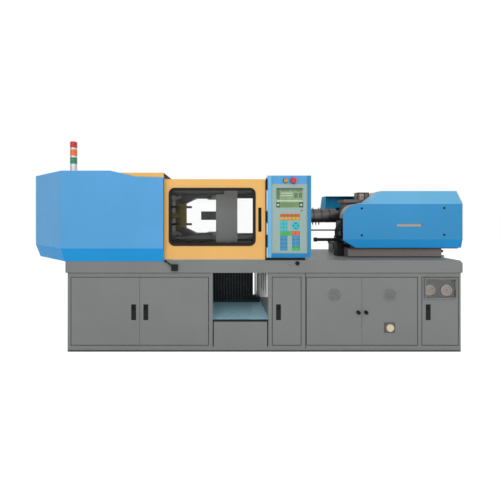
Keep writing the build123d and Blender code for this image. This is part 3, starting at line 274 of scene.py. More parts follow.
def rubber_finish(tree, place, colour, roughness):
    """Black rubber or moulded plastic with a fine grain."""
    grain = noise(tree, place, scale=700)
    cloud = to_range(tree, noise(tree, place, scale=9), 0, 1)
    return {
        "Base Color": two_tone(tree, cloud, colour, dark=0.85, light=1.25),
        "Roughness": to_range(tree, grain, roughness - 0.08, roughness + 0.1),
        "Normal": bumped(tree, grain, strength=0.25, distance=0.4 * MM),
        "Specular IOR Level": 0.25,
    }


def sheet_finish(tree, place, colour):
    """Galvanised sheet with its crystal spangle."""
    spangle = add_node(tree, "TexVoronoi", {"Vector": place, "Scale": 60}).outputs["Color"]
    grey = to_range(tree, along_axis(tree, spangle, "X"), 0, 1, 0, 1)
    return {
        "Base Color": two_tone(tree, grey, colour, dark=0.86, light=1.1),
        "Roughness": to_range(tree, grey, 0.34, 0.5, 0, 1),
        "Normal": bumped(tree, grey, strength=0.05, distance=0.4 * MM),
        "Metallic": 0.08,
    }


def gauze_finish(tree, place, colour):
    """Fine woven wire gauze with dark meshes."""
    wires = [wave(tree, place, axis, scale=90, distortion=0.2) for axis in ("X", "Z")]
    weave = combined(tree, "MAXIMUM", *wires)
    return {
        "Base Color": two_tone(tree, weave, colour, dark=0.387, light=0.989),
        "Roughness": to_range(tree, weave, 0.6, 0.4, 0, 1),
        "Normal": bumped(tree, weave, strength=0.4, distance=MM),
        "Metallic": 0.3,
    }


def pane_finish(tree, place):
    """Clear polycarbonate with faint haze."""
    haze = noise(tree, place, scale=5, detail=5)
    return {
        "Roughness": to_range(tree, haze, 0.0, 0.05),
        "Base Color": mixed(tree, to_range(tree, haze, 0, 1), (0.97, 0.98, 0.98), WHITE),
        "Transmission Weight": 1,
        "IOR": 1.2,
    }


def lens_finish(tree, place, colour, glow):
    """Tinted ribbed lens plastic."""
    ribs = wave(tree, place, "Z", scale=60)
    body = two_tone(tree, ribs, colour, dark=0.86, light=1.12)
    return {
        "Base Color": body,
        "Emission Color": body,
        "Roughness": to_range(tree, noise(tree, place, scale=40), 0.14, 0.24),
        "Normal": bumped(tree, ribs, strength=0.3, distance=MM),
        "Emission Strength": glow,
    }


def screen_finish(tree, place, colour, dark):
    """Display ground with the pixel rows of a liquid crystal and a glass gloss."""
    ground_colour, dark_colour = colour_of(colour), colour_of(dark)
    cloud = to_range(tree, noise(tree, place, scale=18), 0, 0.3)
    rows = to_range(tree, wave(tree, place, "Z", scale=160), 0, 0.12, 0, 1)
    body = mixed(tree, rows, mixed(tree, cloud, ground_colour, dark_colour), dark_colour)
    return {
        "Base Color": body,
        "Emission Color": body,
        "Roughness": to_range(tree, noise(tree, place, scale=30), 0.1, 0.2),
        "Emission Strength": 0.15,
    }


KEY_COLOURS = {
    "blue": (62, 148, 196),
    "green": (66, 186, 88),
    "cyan": (74, 196, 208),
    "red": (220, 104, 70),
    "yellow": (224, 170, 70),
    "orange": (206, 96, 40),
}
UPPER_KEYS = ((0.535, "cyan"), (0.83, "yellow"), (0.925, "orange"))
KEY_COLUMNS = (
    # each side's colours, from the share of the height where they start
    ((0.0, "blue"), (0.415, "green"), *UPPER_KEYS),
    ((0.0, "green"), (0.1025, "blue"), (0.415, "red"), *UPPER_KEYS),
)
COLUMN_SPLIT = (0.595, 0.605)


def key_finish(tree, place, share):
    """Membrane keys, coloured by their place in the block of keys and darkened by a share."""
    low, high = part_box("control_keys")
    across = to_range(tree, along_axis(tree, place, "X"), 0, 1, low.x, high.x)
    up = to_range(tree, along_axis(tree, place, "Z"), 0, 1, low.z, high.z)
    ramps = []
    for stops in KEY_COLUMNS:
        ramp = add_node(tree, "ValToRGB", {"Fac": up})
        ramp.color_ramp.interpolation = "CONSTANT"
        elements = ramp.color_ramp.elements
        while len(elements) < len(stops):
            elements.new(1)
        for element, (start, colour) in zip(elements, stops):
            element.position = start
            element.color = (*shaded(screen_colour(*KEY_COLOURS[colour]), share), 1)
        ramps.append(ramp.outputs["Color"])
    grain = noise(tree, place, scale=300)
    return {
        "Base Color": mixed(tree, to_range(tree, across, 0, 1, *COLUMN_SPLIT), *ramps),
        "Roughness": to_range(tree, grain, 0.4, 0.55),
        "Normal": bumped(tree, grain, strength=0.1, distance=0.3 * MM),
    }


# Painted light and shade by height: the paler blue on the injection covers' top is painted light, and the
# deeper blue on the lower bevels of both covers is painted shade
CLAMP_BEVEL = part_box("clamp_cover_front")[0].z + 134 * MM
INJECT_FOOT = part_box("injection_cover_front")[0].z
CLAMP_BANDS = ((CLAMP_BEVEL, "bevel_blue", 1),)
INJECT_BANDS = ((INJECT_FOOT + 466 * MM, "inject_blue", 1), (INJECT_FOOT + 91 * MM, "bevel_blue", 0.88))
PAINTS = (
    # name, colour, roughness, strength of the orange peel, clear coat, bands of painted light and shade below
    # a height
    ("base_grey", "base_grey", 0.5, 0.2, 0.05),
    ("clamp_blue", "cover_blue", 0.44, 0.12, 0.05, CLAMP_BANDS),
    ("inject_blue", "crown_blue", 0.46, 0.12, 0.04, INJECT_BANDS),
    ("cover_blue", "cover_blue", 0.42, 0.12, 0.08),
    ("guard_yellow", "guard_yellow", 0.42, 0.12, 0.2),
    ("platen_grey", "platen_grey", 0.5, 0.25, 0),
    ("face_grey", "face_grey", 0.5, 0.1, 0),
    ("gauge_cream", "gauge_cream", 0.4, 0.05, 0.3),
    ("dial_grey", (142, 130, 120), 0.4, 0.05, 0.3),
    ("shoulder_grey", (168, 160, 150), 0.5, 0.1, 0),
    ("carriage_dark", (34, 34, 36), 0.5, 0.2, 0),
    # painted light: white for the bright light seen through the drop space and the gap beside the panel
    ("liner_white", (244, 244, 242), 0.5, 0.1, 0),
    # painted light and shade of the panel housing's edges: paler on the left, deeper on the right and at the
    # foot
    ("edge_pale", (122, 192, 234), 0.42, 0.12, 0.05),
    ("edge_deep", (60, 146, 200), 0.42, 0.12, 0.05),
    ("edge_foot", (36, 136, 198), 0.42, 0.12, 0.05),
    # painted shadow: dark grey for the shadow under the base
    ("skirt_grey", (70, 72, 71), 0.5, 0.2, 0),
    ("seat_grey", (136, 124, 118), 0.5, 0.2, 0),
    ("bed_grey", (126, 120, 118), 0.5, 0.25, 0),
    # painted shade: dark olive for yellow in shadow, on the rear door's inside and on the crosshead
    ("lining_olive", (104, 96, 38), 0.55, 0.15, 0),
    ("grille_dark", (34, 46, 50), 0.5, 0.12, 0.2),
    ("shadow_black", (16, 20, 22), 0.6, 0.1, 0),
    ("tray_pale", (190, 180, 172), 0.5, 0.1, 0),
    # painted shade: teal for the blue inside of the injection hood in shadow
    ("liner_teal", (24, 164, 208), 0.5, 0.1, 0),
    ("jog_cyan", (74, 196, 208), 0.45, 0.05, 0),
)
STEELS = (
    # name, colour, roughness, stretch of the grain along each axis
    ("bright_steel", "steel", 0.3, (4, 160, 160)),
    ("tower_silver", (188, 190, 192), 0.34, (160, 160, 4)),
    ("heater_metal", "heater", 0.42, (160, 6, 6)),
    ("dark_steel", (62, 62, 62), 0.4, (4, 160, 160)),
)
LENSES = (
    # name, colour, strength of the glow
    ("lens_red", (192, 24, 26), 0.12),
    ("lens_amber", (224, 106, 36), 0.12),
    ("lens_green", (20, 128, 86), 0.12),
    # painted light: the push buttons are no lamps, and their small glow is painted light
    ("button_red", (226, 20, 34), 0.05),
    ("button_amber", (206, 142, 60), 0.05),
    ("lamp_brown", (150, 62, 50), 0.03),
)
SCREENS = (
    # name, ground, colour of the pixel rows
    ("screen_green", "screen", "screen_dark"),
    ("screen_shadow", (42, 56, 44), "screen_dark"),
    ("screen_mid", (92, 122, 82), "screen_dark"),
    ("screen_pale", (196, 208, 182), "screen"),
    ("screen_bar", (112, 148, 88), "screen_dark"),
)
FINISH_ROWS = (
    (paint_finish, PAINTS),
    (steel_finish, STEELS),
    (rubber_finish, (("black_trim", "trim_black", 0.55), ("hose_black", "trim_black", 0.45))),
    (pane_finish, (("clear_pane",),)),
    (sheet_finish, (("chute_grey", "chute"),)),
    (gauze_finish, (("vent_gauze", "base_grey"),)),
    (lens_finish, LENSES),
    (screen_finish, SCREENS),
    (key_finish, (("key_caps", 1), ("key_field", 0.6))),
)
OWN_FINISHES = {
    # finish, then the solids that show it in place of their slot's
    "clamp_blue": ("clamp_cover_front", "clamp_cover_rear"),
    "inject_blue": ("injection_cover_front", "injection_cover_rear"),
    "grille_dark": ("chute_grille",),
    "bed_grey": ("injection_bed",),
    "carriage_dark": ("carriage",),
    "seat_grey": ("hopper_seat",),
    # painted shade: the crosshead shows the olive of yellow in shadow
    "lining_olive": ("crosshead",),
    "dark_steel": (
        "tie_bars",
        "ejector_cylinder",
        "ejector_rod",
        "clamp_cylinder",
        "upper_rear_link",
        "lower_rear_link",
        "upper_front_link",
        "lower_front_link",
    ),
}
FINISHES = {}


class MACHINE_OT_finishes(bpy.types.Operator):
    """Give every solid its finish"""

    bl_idname = "machine.finishes"
    bl_label = "Finishes"

    def execute(self, context):
        for maker, rows in FINISH_ROWS:
            for name, *values in rows:
                FINISHES[name] = make_finish(name, maker, *values)
        shown = {row["node"]: row["material_slot"] for row in frame["record"]["subparts"]}
        for finish, nodes in OWN_FINISHES.items():
            shown.update(dict.fromkeys(nodes, finish))
        for node, finish in shown.items():
            mesh = frame["nodes"][node].data
            mesh.materials.clear()
            mesh.materials.append(FINISHES[finish])
        return {"FINISHED"}


CAMERA_AT, CAMERA_LENS, CAMERA_SHIFT, SENSOR = (-0.268, -3.525, 1.365), 21.6, (0.064, -0.067), 36
LIGHTS = (
    # name, place, turn in degrees, size, power
    ("key", (-1.6, -5.2, 4.4), (52, 0, -12), 4.5, 120),
    ("fill", (3.4, -4.6, 2.6), (66, 0, 34), 3.5, 43),
    ("rear", (0.5, 5.2, 4.2), (-54, 0, 0), 4.5, 58),
)
WORLD_LIGHT = 0.5
FLOOR_REACH, FLOOR_TONES, FLOOR_GLOW = 14, ((0.84, 0.84, 0.84), (0.87, 0.87, 0.87)), 0.6


def seen_directly(tree):
    """One where the ray comes from the camera, a gloss or a pane."""
    path = add_node(tree, "LightPath", {})
    total = path.outputs["Is Camera Ray"]
    for name in ("Is Glossy Ray", "Is Transmission Ray"):
        total = combined(tree, "MAXIMUM", total, path.outputs[name])
    return total


def floor_finish(tree, place):
    """A pale floor with faint clouds, which glows where it is seen directly."""
    return {
        "Base Color": mixed(tree, to_range(tree, noise(tree, place, scale=0.6), 0, 1), *FLOOR_TONES),
        "Roughness": 0.8,
        "Emission Color": WHITE,
        "Emission Strength": combined(tree, "MULTIPLY", seen_directly(tree), FLOOR_GLOW),
    }


class MACHINE_OT_stage(bpy.types.Operator):
    """Make the camera, the pale floor and the soft light"""

    bl_idname = "machine.stage"
    bl_label = "Stage"

    def execute(self, context):
        scene = context.scene
        scene.view_settings.view_transform = "Standard"
        self.add_camera(scene)
        self.add_world(scene)
        self.add_floor(scene)
        for name, place, turn, size, power in LIGHTS:
            light = bpy.data.lights.new(name, "AREA")
            light.size = size
            light.energy = power
            lamp = bpy.data.objects.new(name, light)
            lamp.location = place
            lamp.rotation_euler = [radians(angle) for angle in turn]
            scene.collection.objects.link(lamp)
        return {"FINISHED"}

    def add_camera(self, scene):
        """A level camera close to the operator side, shifted as the photograph is framed."""
        data = bpy.data.cameras.new("front_view")
        data.sensor_width = SENSOR
        data.lens = CAMERA_LENS
        data.shift_x, data.shift_y = CAMERA_SHIFT
        camera = bpy.data.objects.new("front_view", data)
        camera.location = CAMERA_AT
        camera.rotation_euler = (radians(90), 0, 0)
        scene.collection.objects.link(camera)
        scene.camera = camera

    def add_world(self, scene):
        """Even light, and white where the camera, a gloss or a pane sees past the machine."""
        world = bpy.data.worlds.new("studio")
        world.use_nodes = True
        tree = world.node_tree
        light = tree.nodes["Background"]
        feed(tree, light.inputs["Color"], WHITE)
        feed(tree, light.inputs["Strength"], WORLD_LIGHT)
        white = add_node(tree, "Background", {"Color": WHITE})
        mix = add_node(tree, "MixShader", {0: seen_directly(tree), 1: light.outputs[0], 2: white.outputs[0]})
        feed(tree, tree.nodes["World Output"].inputs["Surface"], mix.outputs[0])
        scene.world = world

    def add_floor(self, scene):
        """A pale floor that keeps the machine's shadow."""
        mesh = bpy.data.meshes.new("floor")
        corners = [(x * FLOOR_REACH, y * FLOOR_REACH, 0) for x, y in ((-1, -1), (1, -1), (1, 1), (-1, 1))]
        mesh.from_pydata(corners, [], [(0, 1, 2, 3)])
        floor = bpy.data.objects.new("floor", mesh)
        scene.collection.objects.link(floor)
        mesh.materials.append(make_finish("floor_pale", floor_finish))


def add_block(mesh, x_pair, y_pair, z_pair, edge=0.0):
    """A block between two places along each axis, with its edges rounded."""
    low, high = (Vector(corner) for corner in zip(x_pair, y_pair, z_pair))
    made = bmesh.ops.create_cube(mesh, size=1)["verts"]
    bmesh.ops.scale(mesh, vec=high - low, verts=made)
    bmesh.ops.translate(mesh, vec=(low + high) / 2, verts=made)
    if edge:
        edges = list({side for vertex in made for side in vertex.link_edges})
        bmesh.ops.bevel(mesh, geom=edges, offset=edge, segments=2, profile=0.7, affect="EDGES")


def widened(rectangle, margin):
    """A rectangle of left, right, low and high, made larger all round."""
    left, right, low, high = rectangle
    return left - margin, right + margin, low - margin, high + margin


def add_frame(mesh, inner, outer, y_pair, edge):
    """Four bars between two rectangles of left, right, low and high."""
    left, right, low, high = inner
    outer_left, outer_right, outer_low, outer_high = outer
    for x_pair, z_pair in (
        ((outer_left, left), (outer_low, outer_high)),
        ((right, outer_right), (outer_low, outer_high)),
        ((left, right), (outer_low, low)),
        ((left, right), (high, outer_high)),
    ):
        add_block(mesh, x_pair, y_pair, z_pair, edge)


def add_turned(mesh, centre, profile, segments, axis=TO_FRONT, hollow=False):
    """A turned form from a profile of radius and reach about an axis, with end caps or open in the middle."""
    turn = Vector(Z_AXIS).rotation_difference(Vector(axis)).to_matrix()
    rings = []
    for radius, reach in profile:
        ring = []
        for step in range(segments):
            angle = 2 * pi * step / segments
            local = Vector((radius * cos(angle), radius * sin(angle), reach))
            ring.append(mesh.verts.new(Vector(centre) + turn @ local))
        rings.append(ring)
    for lower, upper in zip(rings, rings[1:] + rings[:1] if hollow else rings[1:]):
        for step in range(segments):
            after = (step + 1) % segments
            mesh.faces.new((lower[step], lower[after], upper[after], upper[step]))
    if not hollow:
        mesh.faces.new(list(reversed(rings[0])))
        mesh.faces.new(rings[-1])


def add_plate(mesh, outline, origin, across, up, thickness):
    """A flat plate from an outline in two directions, set out along their normal."""
    origin, across, up = Vector(origin), Vector(across), Vector(up)
    out = across.cross(up).normalized() * thickness
    near = [mesh.verts.new(origin + across * x + up * y) for x, y in outline]
    far = [mesh.verts.new(vertex.co + out) for vertex in near]
    mesh.faces.new(list(reversed(near)))
    mesh.faces.new(far)
    for step in range(len(near)):
        after = (step + 1) % len(near)
        mesh.faces.new((near[step], near[after], far[after], far[step]))


def arc_points(start, middle, end, steps):
    """Points along the arc through three points of a plane."""
    first, second = middle - start, end - start
    turn = 2 * (first.x * second.y - first.y * second.x)
    centre_x = (second.y * first.length_squared - first.y * second.length_squared) / turn
    centre_y = (first.x * second.length_squared - second.x * first.length_squared) / turn
    centre = start + Vector((centre_x, centre_y))
    arm = start - centre
    sweep = arm.angle_signed(end - centre)
    points = []
    for step in range(steps + 1):
        angle = -sweep * step / steps
        across, up = cos(angle), sin(angle)
        points.append(centre + Vector((arm.x * across - arm.y * up, arm.x * up + arm.y * across)))
    return points


SHARP_ANGLE = radians(35)
SLOTS = {row["material_slot"] for row in frame["record"]["subparts"]}


def finish_piece(mesh, name, finish, body="machine", slot=None):
    """Turn a bmesh into a piece with its finish, which rides on its body; the slot it is given is not used.
    """
    bmesh.ops.recalc_face_normals(mesh, faces=mesh.faces)
    data = bpy.data.meshes.new(name)
    mesh.to_mesh(data)
    mesh.free()
    for face in data.polygons:
        face.use_smooth = True
    data.set_sharp_from_angle(angle=SHARP_ANGLE)
    data.materials.append(FINISHES[finish])
    piece = bpy.data.objects.new(name, data)
    bpy.context.scene.collection.objects.link(piece)
    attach(piece, body)
    slot = slot or finish


@contextmanager
def new_piece(name, finish, body="machine", slot=None):
    """An empty bmesh to fill, which is then made into a piece."""
    mesh = bmesh.new()
    yield mesh
    finish_piece(mesh, name, finish, body, slot)


GRIP_DOORS = {"clamp_door_left": 1, "clamp_door_right": -1, "middle_door": -1, "gauge_door": -1}
GRIP_INSET, GRIP_WIDTH, GRIP_DEPTH, GRIP_LOW, GRIP_HIGH = mm(40, 40, 12, 325, 475)
GRIP_RIM, RIM_PROUD, RIM_EDGE, LEVER_DROP, LEVER_SEAT, LOCK_DROP = mm(4, 2, 0.6, 46, 4, 23)
GRIP_LOCK = stepped(0, (11, 0), (11, 5), (9, 7))


class MACHINE_OT_cabinet_grips(bpy.types.Operator):
    """Fill the recesses of the cabinet doors with flush lever grips"""

    bl_idname = "machine.cabinet_grips"
    bl_label = "Cabinet grips"

    def execute(self, context):
        gap = sizes().edge
        for door, side in GRIP_DOORS.items():
            low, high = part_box(door)
            first = (high.x if side > 0 else low.x) - side * GRIP_INSET
            left, right = sorted((first, first - side * GRIP_WIDTH))
            front, back = low.y, low.y + GRIP_DEPTH
            lever_top, lever_back = GRIP_HIGH - LEVER_DROP, back - LEVER_SEAT
            recess, inside = (left, right, GRIP_LOW, GRIP_HIGH), (left + gap, right - gap)
            inner, outer = widened(recess, -GRIP_RIM), widened(recess, GRIP_RIM)
            with new_piece(f"{door}_grip", "black_trim", door) as mesh:
                add_frame(mesh, inner, outer, (front - RIM_PROUD, front), RIM_EDGE)
                add_block(mesh, inside, (front - MM, lever_back), (GRIP_LOW + gap, lever_top), gap)
                add_block(mesh, inside, (lever_back, back - MM), (lever_top, GRIP_HIGH - gap), gap)
                lock_at = ((left + right) / 2, lever_back, GRIP_HIGH - LOCK_DROP)
                add_turned(mesh, lock_at, GRIP_LOCK, segments=28)
        return {"FINISHED"}


VENT_RADIUS, VENT_HEIGHT, DOOR_SHEET = mm(63, 574, 3)
VENT_RING = stepped(VENT_RADIUS, (7, 0), (7, 1), (4, 2.5), (1, 2.5), (-1, 0.2))
VENT_GAUZE = stepped(VENT_RADIUS, (0, 0), (0, 1), (4, 1), (4, 3))
LOUVRE_PITCH, LOUVRE_LIP, LOUVRE_RISE, LOUVRE_SHORT, LOUVRE_PROUD = mm(16, 2, 4.5, 7, 2.5)
LOUVRE_STEPS = range(-3, 4)
WING_HALF, WING_PROUD, WING_EDGE = mm(4, 9, 2)
OIL_CAP_X, OIL_CAP_Z, OIL_PLATE_X, OIL_PLATE_Z, OIL_PLATE, OIL_SCREW = mm(1462, 245, 55, 52, 4, 11)
OIL_CAP = [*stepped(37 * MM, (0, 0), (0, 11), (-2, 13), (-7, 13), (-9, 10.5)), (10 * MM, 10.5 * MM)]
SCREW_HEAD = stepped(0, (4, 0), (4, 1), (2.5, 2.2))


class MACHINE_OT_pump_doors(bpy.types.Operator):
    """Add the vent rings, louvre lips, knob wings and oil cap of the pump doors"""

    bl_idname = "machine.pump_doors"
    bl_label = "Pump doors"

    def execute(self, context):
        for side in ("left", "right"):
            door = f"pump_door_{side}"
            low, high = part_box(door)
            middle = (low.x + high.x) / 2
            with new_piece(f"{door}_vent", "base_grey", door) as vent:
                add_turned(vent, (middle, low.y, VENT_HEIGHT), VENT_RING, segments=64, hollow=True)
                for step in LOUVRE_STEPS:
                    reach = (VENT_RADIUS**2 - (step * LOUVRE_PITCH) ** 2) ** 0.5 - LOUVRE_SHORT
                    x_pair, y_pair = (middle - reach, middle + reach), (low.y - LOUVRE_PROUD, low.y)
                    at = VENT_HEIGHT + step * LOUVRE_PITCH + LOUVRE_RISE
                    add_block(vent, x_pair, y_pair, (at, at + LOUVRE_LIP), LOUVRE_LIP / 4)
            with new_piece(f"{door}_gauze", "vent_gauze", door, "base_grey") as gauze:
                behind = (middle, low.y + DOOR_SHEET, VENT_HEIGHT)
                add_turned(gauze, behind, VENT_GAUZE, segments=64, axis=Y_AXIS)
            low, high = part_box(f"pump_knob_{side}")
            half = (high.x - low.x) / 2
            x, z, reach = (low.x + high.x) / 2, low.z + half, half - WING_EDGE
            x_pair, y_pair = (x - WING_HALF, x + WING_HALF), (low.y - WING_PROUD, low.y + MM)
            with new_piece(f"pump_knob_{side}_wing", "black_trim", f"pump_knob_{side}") as wing:
                add_block(wing, x_pair, y_pair, (z - reach, z + reach), WING_EDGE)
        self.oil_cap()
        return {"FINISHED"}

    def oil_cap(self):
        """The cream filler cap in its square plate on the right pump door."""
        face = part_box("pump_door_right")[0].y
        front = face - OIL_PLATE
        x_pair = (OIL_CAP_X - OIL_PLATE_X, OIL_CAP_X + OIL_PLATE_X)
        z_pair = (OIL_CAP_Z - OIL_PLATE_Z, OIL_CAP_Z + OIL_PLATE_Z)
        with new_piece("oil_cap_plate", "heater_metal", "pump_door_right") as plate:
            add_block(plate, x_pair, (front, face), z_pair, OIL_PLATE / 2)
            for x in (x_pair[0] + OIL_SCREW, x_pair[1] - OIL_SCREW):
                for z in (z_pair[0] + OIL_SCREW, z_pair[1] - OIL_SCREW):
                    add_turned(plate, (x, front, z), SCREW_HEAD, segments=16)
        with new_piece("oil_cap", "gauge_cream", "pump_door_right") as cap:
            add_turned(cap, (OIL_CAP_X, front, OIL_CAP_Z), OIL_CAP, segments=48)


GAUGE_WINDOW = mm(1821.5, 2121.5, 547, 735)
GAUGE_PLACES = (
    # place along the machine, radius, needle's angle
    (1865 * MM, 50 * MM, 35),
    (2032 * MM, 54 * MM, -60),
)
GAUGE_HEIGHT, GAUGE_SEAT, BACK_SHEET, WINDOW_PROUD, PANE_FRONT, PANE_REAR = mm(624, 1.5, 0.8, 16, 15, 12.5)
DIAL_INSET, DIAL_PROUD, TICK_INSET, TICK_LONG, TICK_SHORT, TICK_HALF = mm(7, 4, 9, 9, 5, 0.7)
NEEDLE_TAIL, NEEDLE_INSET, NEEDLE_HALF, MARK_PROUD = mm(10, 14, 1.1, 0.6)
TICK_COUNT, TICKS_PER_LONG, TICK_START, TICK_SWEEP = 25, 4, 225, 270
NEEDLE_BOSS = stepped(0, (4, 0), (4, 1.6), (2, 2))


class MACHINE_OT_pressure_gauges(bpy.types.Operator):
    """Add the window frame, the two pressure gauges and the clear pane of the gauge door"""

    bl_idname = "machine.pressure_gauges"
    bl_label = "Pressure gauges"

    def execute(self, context):
        left, right, low, high = GAUGE_WINDOW
        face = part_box("gauge_door")[0].y
        seat = face + GAUGE_SEAT
        front = seat - BACK_SHEET
        with new_piece("gauge_back", "heater_metal", "gauge_door") as back:
            add_block(back, (left + MM, right - MM), (front, seat), (low + MM, high - MM))
        with new_piece("gauge_window_frame", "base_grey", "gauge_door") as bezel:
            outer = widened(GAUGE_WINDOW, sizes().bezel)
            add_frame(bezel, GAUGE_WINDOW, outer, (face - WINDOW_PROUD, face), MM)
        with new_piece("gauge_window_pane", "clear_pane", "gauge_door") as pane:
            add_block(pane, (left, right), (face - PANE_FRONT, face - PANE_REAR), (low, high))
        for number, (x, radius, needle) in enumerate(GAUGE_PLACES, 1):
            self.gauge(f"gauge_{number}", Vector((x, front, GAUGE_HEIGHT)), radius, needle)
        return {"FINISHED"}

    def gauge(self, name, centre, radius, needle):
        """One gauge: case, dial with its ticks, and a needle."""
        with new_piece(f"{name}_case", "bright_steel", "gauge_door") as case:
            rim = stepped(radius, (0, 0), (0, 9), (-2, 10.5), (-6, 10.5), (-7, 6), (-7, 0))
            add_turned(case, centre, rim, segments=56, hollow=True)
        with new_piece(f"{name}_dial", "dial_grey", "gauge_door") as dial:
            disc = [(radius - DIAL_INSET, 0), (radius - DIAL_INSET, DIAL_PROUD)]
            add_turned(dial, centre, disc, segments=56)
        with new_piece(f"{name}_marks", "black_trim", "gauge_door") as marks:
            face = centre - Vector((0, DIAL_PROUD, 0))
            for tick in range(TICK_COUNT):
                angle = radians(TICK_START - tick * TICK_SWEEP / (TICK_COUNT - 1))
                end = radius - TICK_INSET
                start = end - (TICK_SHORT if tick % TICKS_PER_LONG else TICK_LONG)
                self.spoke(marks, face, angle, start, end, TICK_HALF)
            raised = face - Vector((0, MARK_PROUD, 0))
            self.spoke(marks, raised, radians(needle), -NEEDLE_TAIL, radius - NEEDLE_INSET, NEEDLE_HALF)
            add_turned(marks, face, NEEDLE_BOSS, segments=20)

    def spoke(self, mesh, base, angle, start, end, half):
        """A thin mark that points out from the dial's middle."""
        along, across = Vector((cos(angle), 0, sin(angle))), Vector((-sin(angle), 0, cos(angle)))
        outline = ((start, -half), (end, -half), (end, half), (start, half))
        add_plate(mesh, outline, base, along, across, MARK_PROUD)


SHEET = 1.5 * MM
SEE_THROUGH_LEFT, SEE_THROUGH_LOW = mm(156, 390)
CHUTE_RISE, CHUTE_FLANGE, CHUTE_HEM = mm(8, 24, 4)
SLATS = mm(-470, -330, -185, -30)
SLAT_WIDTH, SLAT_FOOT, SLAT_GAP = mm(15, 544, 8)


class MACHINE_OT_drop_space(bpy.types.Operator):
    """Back the grille and line the right wall with dark sheet of painted shade, edge the chute, and give its
    front a black lip of painted shade
    """

    bl_idname = "machine.drop_space"
    bl_label = "Part drop space"

    def execute(self, context):
        low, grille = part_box("chute_grille")
        # painted shade: a dark sheet behind the grille
        with new_piece("grille_backing", "shadow_black", slot="black_trim") as backing:
            outline = [
                (low.x, low.z),
                (grille.x, low.z),
                (grille.x, SEE_THROUGH_LOW),
                (SEE_THROUGH_LEFT, SEE_THROUGH_LOW),
                (SEE_THROUGH_LEFT, grille.z),
                (low.x, grille.z),
            ]
            add_plate(backing, outline, (0, grille.y + SHEET, 0), X_AXIS, Z_AXIS, SHEET)
        low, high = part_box("drop_chute")
        front, rear = high.z - CHUTE_RISE, high.z
        flange = [
            (low.y + CHUTE_HEM, front),
            (high.y, rear),
            (high.y, rear + CHUTE_FLANGE),
            (low.y + CHUTE_FLANGE, front + CHUTE_FLANGE),
        ]
        with new_piece("chute_edges", "chute_grey") as edges:
            for x in (low.x, high.x - SHEET):
                add_plate(edges, flange, (x, 0, 0), Y_AXIS, Z_AXIS, SHEET)
        # painted shade: a black lip for the shadowed gap under the chute's front edge
        with new_piece("chute_lip", "black_trim") as lip:
            add_block(lip, (low.x, high.x), (low.y - SHEET, low.y), (low.z, front), SHEET / 3)
            hem = [(CHUTE_HEM, 0), (CHUTE_HEM, high.x - low.x)]
            add_turned(lip, (low.x, low.y + CHUTE_HEM / 2, front), hem, segments=20, axis=X_AXIS)
        self.wall_slats(high.x, grille)
        return {"FINISHED"}

    def wall_slats(self, wall, grille):
        """White upright slats on the right wall and a white sheet behind the grille, painted light for the
        bright light that shows through the drop space, on a dark sheet of painted shade.
        """
        slope = (SLAT_FOOT - SEE_THROUGH_LOW) / (grille.y - SLATS[0])
        sheet, rear = (wall - SHEET, wall), (grille.y + SLAT_GAP, -SLATS[0])
        with new_piece("wall_slats", "liner_white", slot="face_grey") as slats:
            for y in SLATS:
                foot = SEE_THROUGH_LOW + slope * (grille.y - y)
                add_block(slats, (wall - SLAT_WIDTH, wall), (y, y + 2 * SHEET), (foot, grille.z), SHEET / 2)
            add_block(slats, sheet, rear, (SEE_THROUGH_LOW, grille.z), SHEET / 3)
        # painted shade: a dark sheet on the right wall behind the white slats
        with new_piece("wall_liner", "shadow_black", slot="black_trim") as liner:
            side = (SLATS[0] + SLAT_GAP, grille.y - SLAT_GAP)
            add_block(liner, sheet, side, (SLAT_FOOT, grille.z), SHEET / 3)


SHADE_SHEET_GAP, SHADE_SHEET_CORNER = mm(3, 48)
CORNER_STEPS = 6


class MACHINE_OT_rear_shade_sheet(bpy.types.Operator):
    """Cover the inside of the rear safety door round its window with dark olive sheet, painted shade of the
    yellow door's inner face
    """

    bl_idname = "machine.rear_lining"
    bl_label = "Rear door lining"

    def execute(self, context):
        low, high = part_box("rear_door")
        pane_low, pane_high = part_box("rear_door_window")
        outer = widened((low.x, high.x, low.z, high.z), -SHADE_SHEET_GAP)
        inner = widened((pane_low.x, pane_high.x, pane_low.z, pane_high.z), SHADE_SHEET_GAP)
        # painted shade: dark olive sheet on the door's inner face
        with new_piece("rear_door_lining", "lining_olive", "rear_door", "guard_yellow") as lining:
            add_frame(lining, inner, outer, (low.y - SHEET, low.y), SHEET / 4)
            left, right, bottom, top = inner
            turns = [step * pi / 2 / CORNER_STEPS for step in range(CORNER_STEPS + 1)]
            for x, across in ((left, 1), (right, -1)):
                for z, up in ((bottom, 1), (top, -1)):
                    round_corner = [
                        (across * SHADE_SHEET_CORNER * (1 - cos(turn)), up * SHADE_SHEET_CORNER * (1 - sin(turn)))
                        for turn in turns
                    ]
                    add_plate(lining, [(0, 0), *round_corner], (x, low.y, z), X_AXIS, Z_AXIS, SHEET)
        return {"FINISHED"}


SEAL_WIDTH, SEAL_PROUD, BAY_REVEAL, BAY_SHADE_WIDTH = mm(5, 1, 3, 3)
BEAM_BOTTOM, BASE_BOTTOM, BASE_LEFT, BASE_RIGHT, BASE_JOINT = mm(800, 30, -1785, 2180, 615)
SKIRT_LOW, SKIRT_SHEET = mm(18, 3)
DOOR_BAYS = (
    # the left and the right door of each bay
    ("clamp_door_left", "clamp_door_right"),
    ("middle_door", "middle_door"),
    ("pump_door_left", "pump_door_right"),
    ("gauge_door", "gauge_door"),
)


